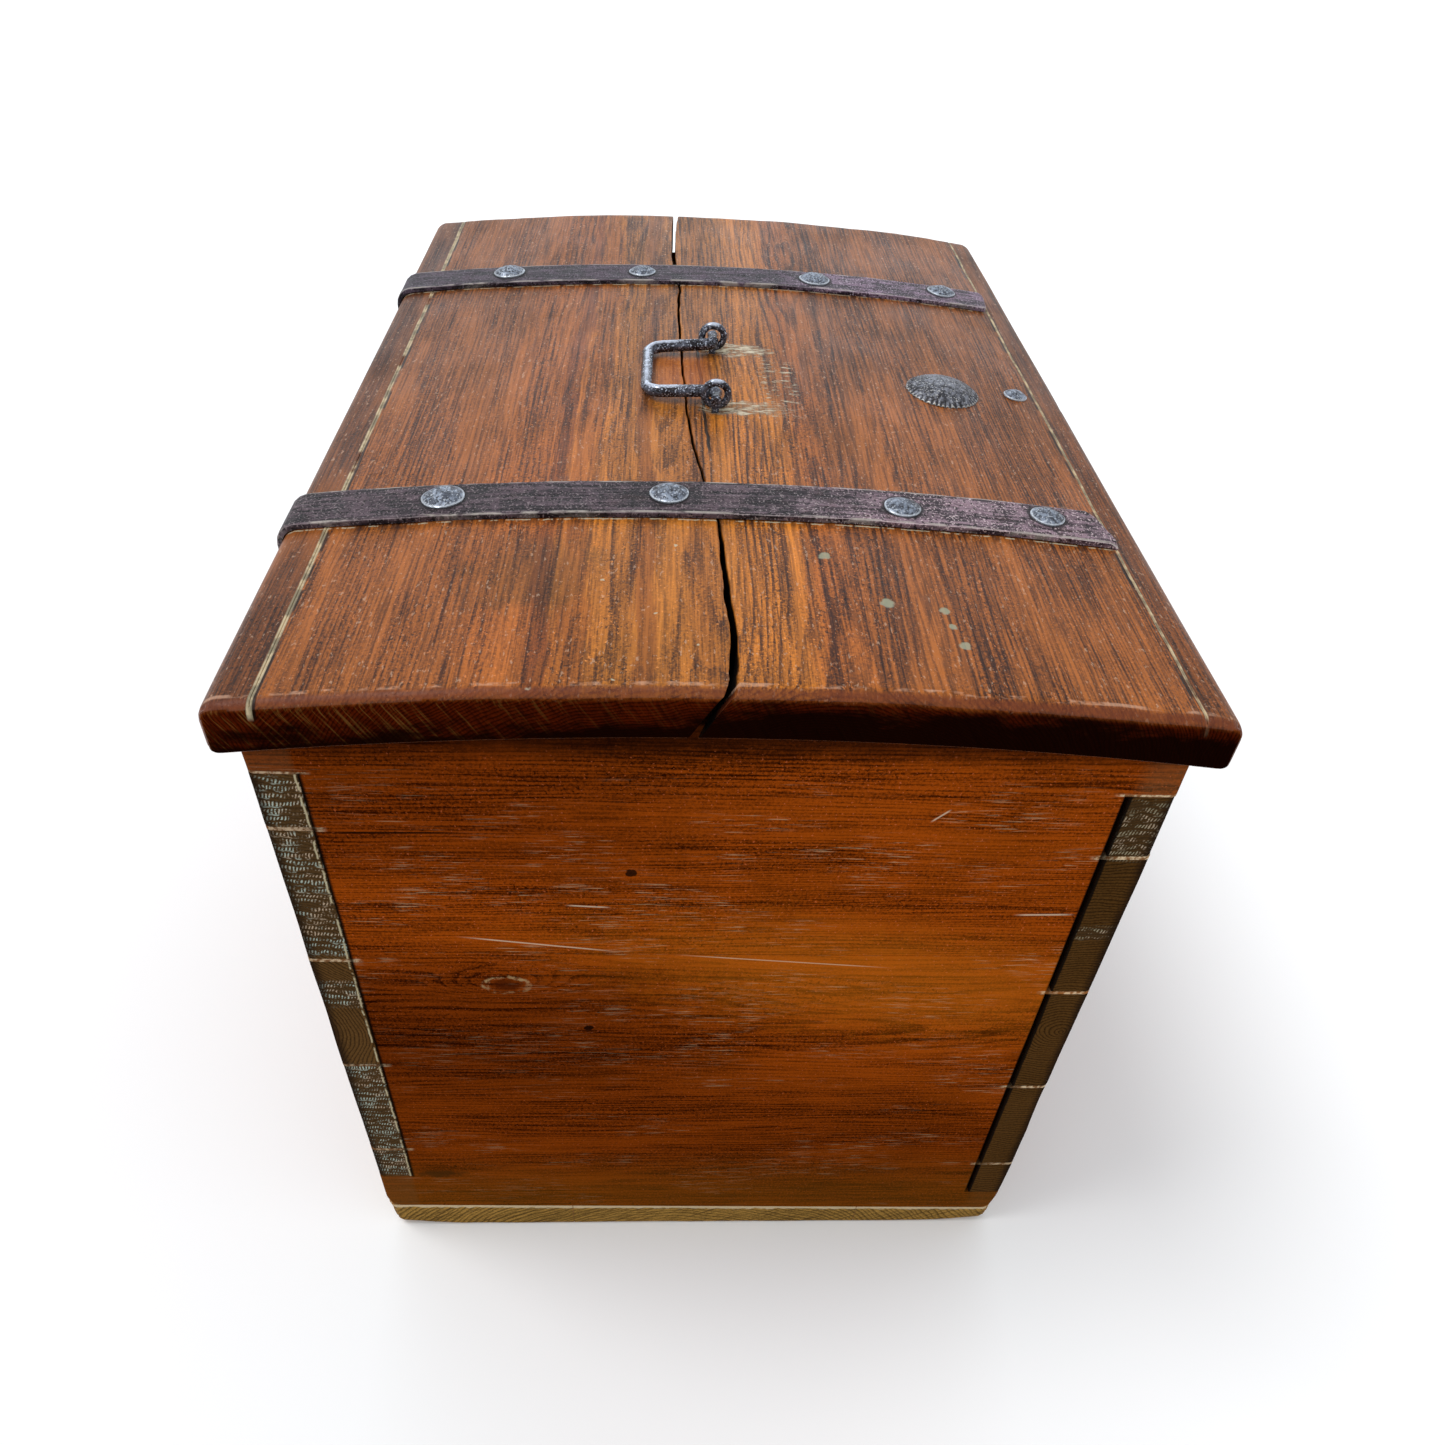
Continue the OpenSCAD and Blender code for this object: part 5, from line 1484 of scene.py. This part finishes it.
def strap_marks(g, metal):
    """Painted shadow round the nail heads, a pale line along both long edges that is wear and painted
    highlight, and a darker back half.
    """
    shadows = []
    for side, nails in STRAP_NAILS.items():
        for dx, y, width in nails:
            place = (STRAPS[side] + dx, y, float(lid_top(y)) + STRAP_T)
            shadows.append(g.spot(place, width / 2 + 0.6, 2.2))
    cloud = g.noise(g.place, (30, 70, 30), 3, 0.6, 75.0)
    metal.tint(g.ramp(g.y + (cloud - 0.5) * 260, -130, 60) * 0.6, (0.42, 0.36, 0.40), "MULTIPLY")
    metal.tint(g.ramp(g.y + (cloud - 0.5) * 120, -30, -130), (1.80, 1.70, 1.75), "MULTIPLY")
    metal.tint(g.ramp(g.x, 100, 180), (0.80, 0.80, 0.93), "MULTIPLY")
    broken = g.patches((9, 26, 9), 0.42, 0.56, 77.0, 3, 0.65)
    # Wear and painted highlight: a pale line along both long edges of the straps.
    line = g.band(strap_gap(g) + (cloud - 0.5) * 1.5, STRAP_W / 2 - 1.2, 0.5, 0.8)
    metal.tint(line * broken * 0.75, (0.42, 0.38, 0.34))
    # Painted shadow round each nail head.
    metal.tint(g.merge("MAXIMUM", shadows) * 0.85, (0.012, 0.009, 0.011))


strap_iron = iron(
    "strap_iron", (0.155, 0.110, 0.130), (0.014, 0.007, 0.011), (0.40, 0.34, 0.34),
    (3.0, 55, 7), metallic=0.3, rough=0.55, rust=0.12, seed=1.0, marks=strap_marks, gloss=0.25)
nail_iron = iron(
    "nail_iron", (0.250, 0.290, 0.365), (0.055, 0.063, 0.086), (0.56, 0.60, 0.66),
    (4, 4, 4), metallic=0.45, rough=0.42, rust=0.05, seed=3.0)
# The bluish-white worn edges and grit of the bail and its eyes also stand in for their sky highlights: wear
# and painted highlight.
bail_iron = iron(
    "bail_iron", (0.090, 0.097, 0.130), (0.010, 0.009, 0.014), (0.66, 0.72, 0.86),
    (6, 9, 9), metallic=0.45, rough=0.25, rust=0.0, seed=5.0)


def flute_marks(g, metal):
    """Dark valleys between the flutes of the boss, and a pale rim."""
    flute = g.mark("flute")
    metal.tint(g.ramp(flute, 0.25, 0.9) * 0.9, (0.010, 0.008, 0.009))
    rim = g.ramp(g.mark("wear"), 0.3, 0.9) * g.ramp(flute, 0.4, 0.1)
    metal.tint(rim * g.patches(9, 0.42, 0.55, 79.0) * 0.7, (0.50, 0.44, 0.34))


boss_iron = iron(
    "boss_iron", (0.21, 0.22, 0.26), (0.032, 0.032, 0.042), (0.52, 0.52, 0.52),
    (5, 5, 5), metallic=0.45, rough=0.5, rust=0.08, seed=7.0, marks=flute_marks)
lock_iron = iron(
    "lock_iron", (0.16, 0.15, 0.16), (0.055, 0.047, 0.05), (0.34, 0.33, 0.33),
    (11, 11, 11), metallic=0.6, rough=0.5, rust=0.3, seed=9.0)
hidden_steel = iron(
    "hidden_steel", (0.30, 0.30, 0.31), (0.13, 0.125, 0.125), (0.50, 0.50, 0.50),
    (8, 8, 8), metallic=0.8, rough=0.42, rust=0.2, seed=11.0)

# ---------------------------------------------------------------- pieces

for side, sign in (("left", -1), ("right", 1)):
    end_board("end_" + side + "_lower", sign, FLOOR_FRONT_T, END_JOINT_Z, end_lower_pine)
    end_board("end_" + side + "_upper", sign, END_JOINT_Z, CAVITY_TOP, end_upper_pine)
long_board("front_board_lower", -1, FRONT_SEAMS, FLOOR_FRONT_T, LONG_JOINT_Z, front_pine)
long_board("front_board_upper", -1, FRONT_SEAMS, LONG_JOINT_Z, CAVITY_TOP, front_pine, KEYHOLE)
long_board("back_board_lower", 1, BACK_SEAMS, FLOOR_FRONT_T, LONG_JOINT_Z, back_pine)
long_board("back_board_upper", 1, BACK_SEAMS, LONG_JOINT_Z, CAVITY_TOP, back_pine)
floor_board("floor_board_front", -HALF_W, FLOOR_JOINTS[0], floor_pine)
floor_board("floor_board_middle", FLOOR_JOINTS[0], FLOOR_JOINTS[1], floor_pine)
floor_board("floor_board_back", FLOOR_JOINTS[1], HALF_W, floor_pine)

lid_board("lid_board_front", -1, FRONT_JOINT, lid_front_pine)
lid_board("lid_board_back", 1, BACK_JOINT, lid_back_pine)
lid_strip("lid_strip_front", FRONT_JOINT, LID_FRONT, strip_front_pine)
lid_strip("lid_strip_back", BACK_JOINT, LID_BACK, strip_back_pine)

for side in STRAPS:
    strap(side, strap_iron)
    strap_nails(side, nail_iron)
for side in EYES:
    handle_eye(side, bail_iron)
bail(bail_iron)
boss(boss_iron)
rivet(nail_iron)


def finish_cad(names, material, bevel):
    """Carries a CAD node over with a worn edge and a finished material."""
    for name in names:
        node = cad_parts[name]
        node.data.materials.clear()
        node.data.materials.append(material)
        edge = node.modifiers.new("worn edge", "BEVEL")
        edge.width = bevel / 1000
        edge.segments = 2
        edge.limit_method = "ANGLE"
        edge.angle_limit = math.radians(35)


finish_cad(("hinge_leaf_left", "hinge_leaf_right"), strap_iron, bevel=0.5)
finish_cad(("leaf_nails_left", "leaf_nails_right"), nail_iron, bevel=0.3)
finish_cad(("hinge_pin_left", "hinge_pin_right", "lock_bolt", "lock_spring"), hidden_steel, bevel=0.25)
finish_cad(("hasp_plate", "hasp_staple", "lock_case", "escutcheon"), lock_iron, bevel=0.4)
finish_cad(("escutcheon_nails", "lock_nails", "floor_nails"), nail_iron, bevel=0.2)

# ---------------------------------------------------------------- floor, light and camera


def studio_floor():
    """Wide pale ground under the chest."""
    half = 14    # metres
    corners = [(-half, -half, 0), (half, -half, 0), (half, half, 0), (-half, half, 0)]
    mesh = bpy.data.meshes.new("studio_floor")
    mesh.from_pydata(corners, [], [(0, 1, 2, 3)])
    g = Graph("studio_floor")
    pale = g.mix(g.noise(g.place, 400, 2), (0.93, 0.93, 0.93), (0.95, 0.95, 0.95))
    mesh.materials.append(g.finish(pale, 0.9, 0.0, specular=0.0))
    ground = bpy.data.objects.new("studio_floor", mesh)
    bpy.context.scene.collection.objects.link(ground)


def add_lamp(name, light, aim, place=(0, 0, 0)):
    """Puts a light in the scene so that it shines along aim."""
    lamp = bpy.data.objects.new(name, light)
    x, y, z = aim
    lamp.location = place
    lamp.rotation_euler = (math.atan2(math.hypot(x, y), -z), 0, math.atan2(-x, y))
    bpy.context.scene.collection.objects.link(lamp)


def area_light(name, place, target, size, power, colour):
    """Soft lit rectangle at a place, turned to its target."""
    light = bpy.data.lights.new(name, "AREA")
    light.shape = "RECTANGLE"
    light.size, light.size_y = size
    light.energy = power
    light.color = colour
    add_lamp(name, light, np.array(target, float) - np.array(place, float), place)


def sun_light(name, towards, power, spread_angle):
    """Soft light from one direction; towards points from the object to the light."""
    light = bpy.data.lights.new(name, "SUN")
    light.energy = power
    light.angle = math.radians(spread_angle)
    add_lamp(name, light, [-part for part in towards])


def camera():
    """Camera where the photo's was, solved from the chest's straight edges."""
    data = bpy.data.cameras.new("camera")
    data.lens = 27.70
    data.sensor_width = 36
    data.shift_y = 0.0294
    eye = bpy.data.objects.new("camera", data)
    eye.location = (-0.87136, 0.03658, 1.01582)
    eye.rotation_euler = [math.radians(a) for a in (47.5344, -2.7287, -91.6593)]
    bpy.context.scene.collection.objects.link(eye)
    bpy.context.scene.camera = eye


studio_floor()
area_light(
    "sky_behind", place=(2.7, 0.1, 1.5), target=(0.3, 0, 0.6),
    size=(3.6, 1.3), power=13, colour=(0.78, 0.89, 1.0))
sun_light("key", towards=(0.04, 0.42, 0.9), power=1.2, spread_angle=24)
camera()
world = bpy.data.worlds.new("studio")
world.use_nodes = True
background = world.node_tree.nodes["Background"]
background.inputs["Color"].default_value = (0.95, 0.975, 1.0, 1)
background.inputs["Strength"].default_value = 0.84
bpy.context.scene.world = world
bpy.context.scene.view_settings.view_transform = "Standard"
bpy.context.scene.view_settings.look = "None"
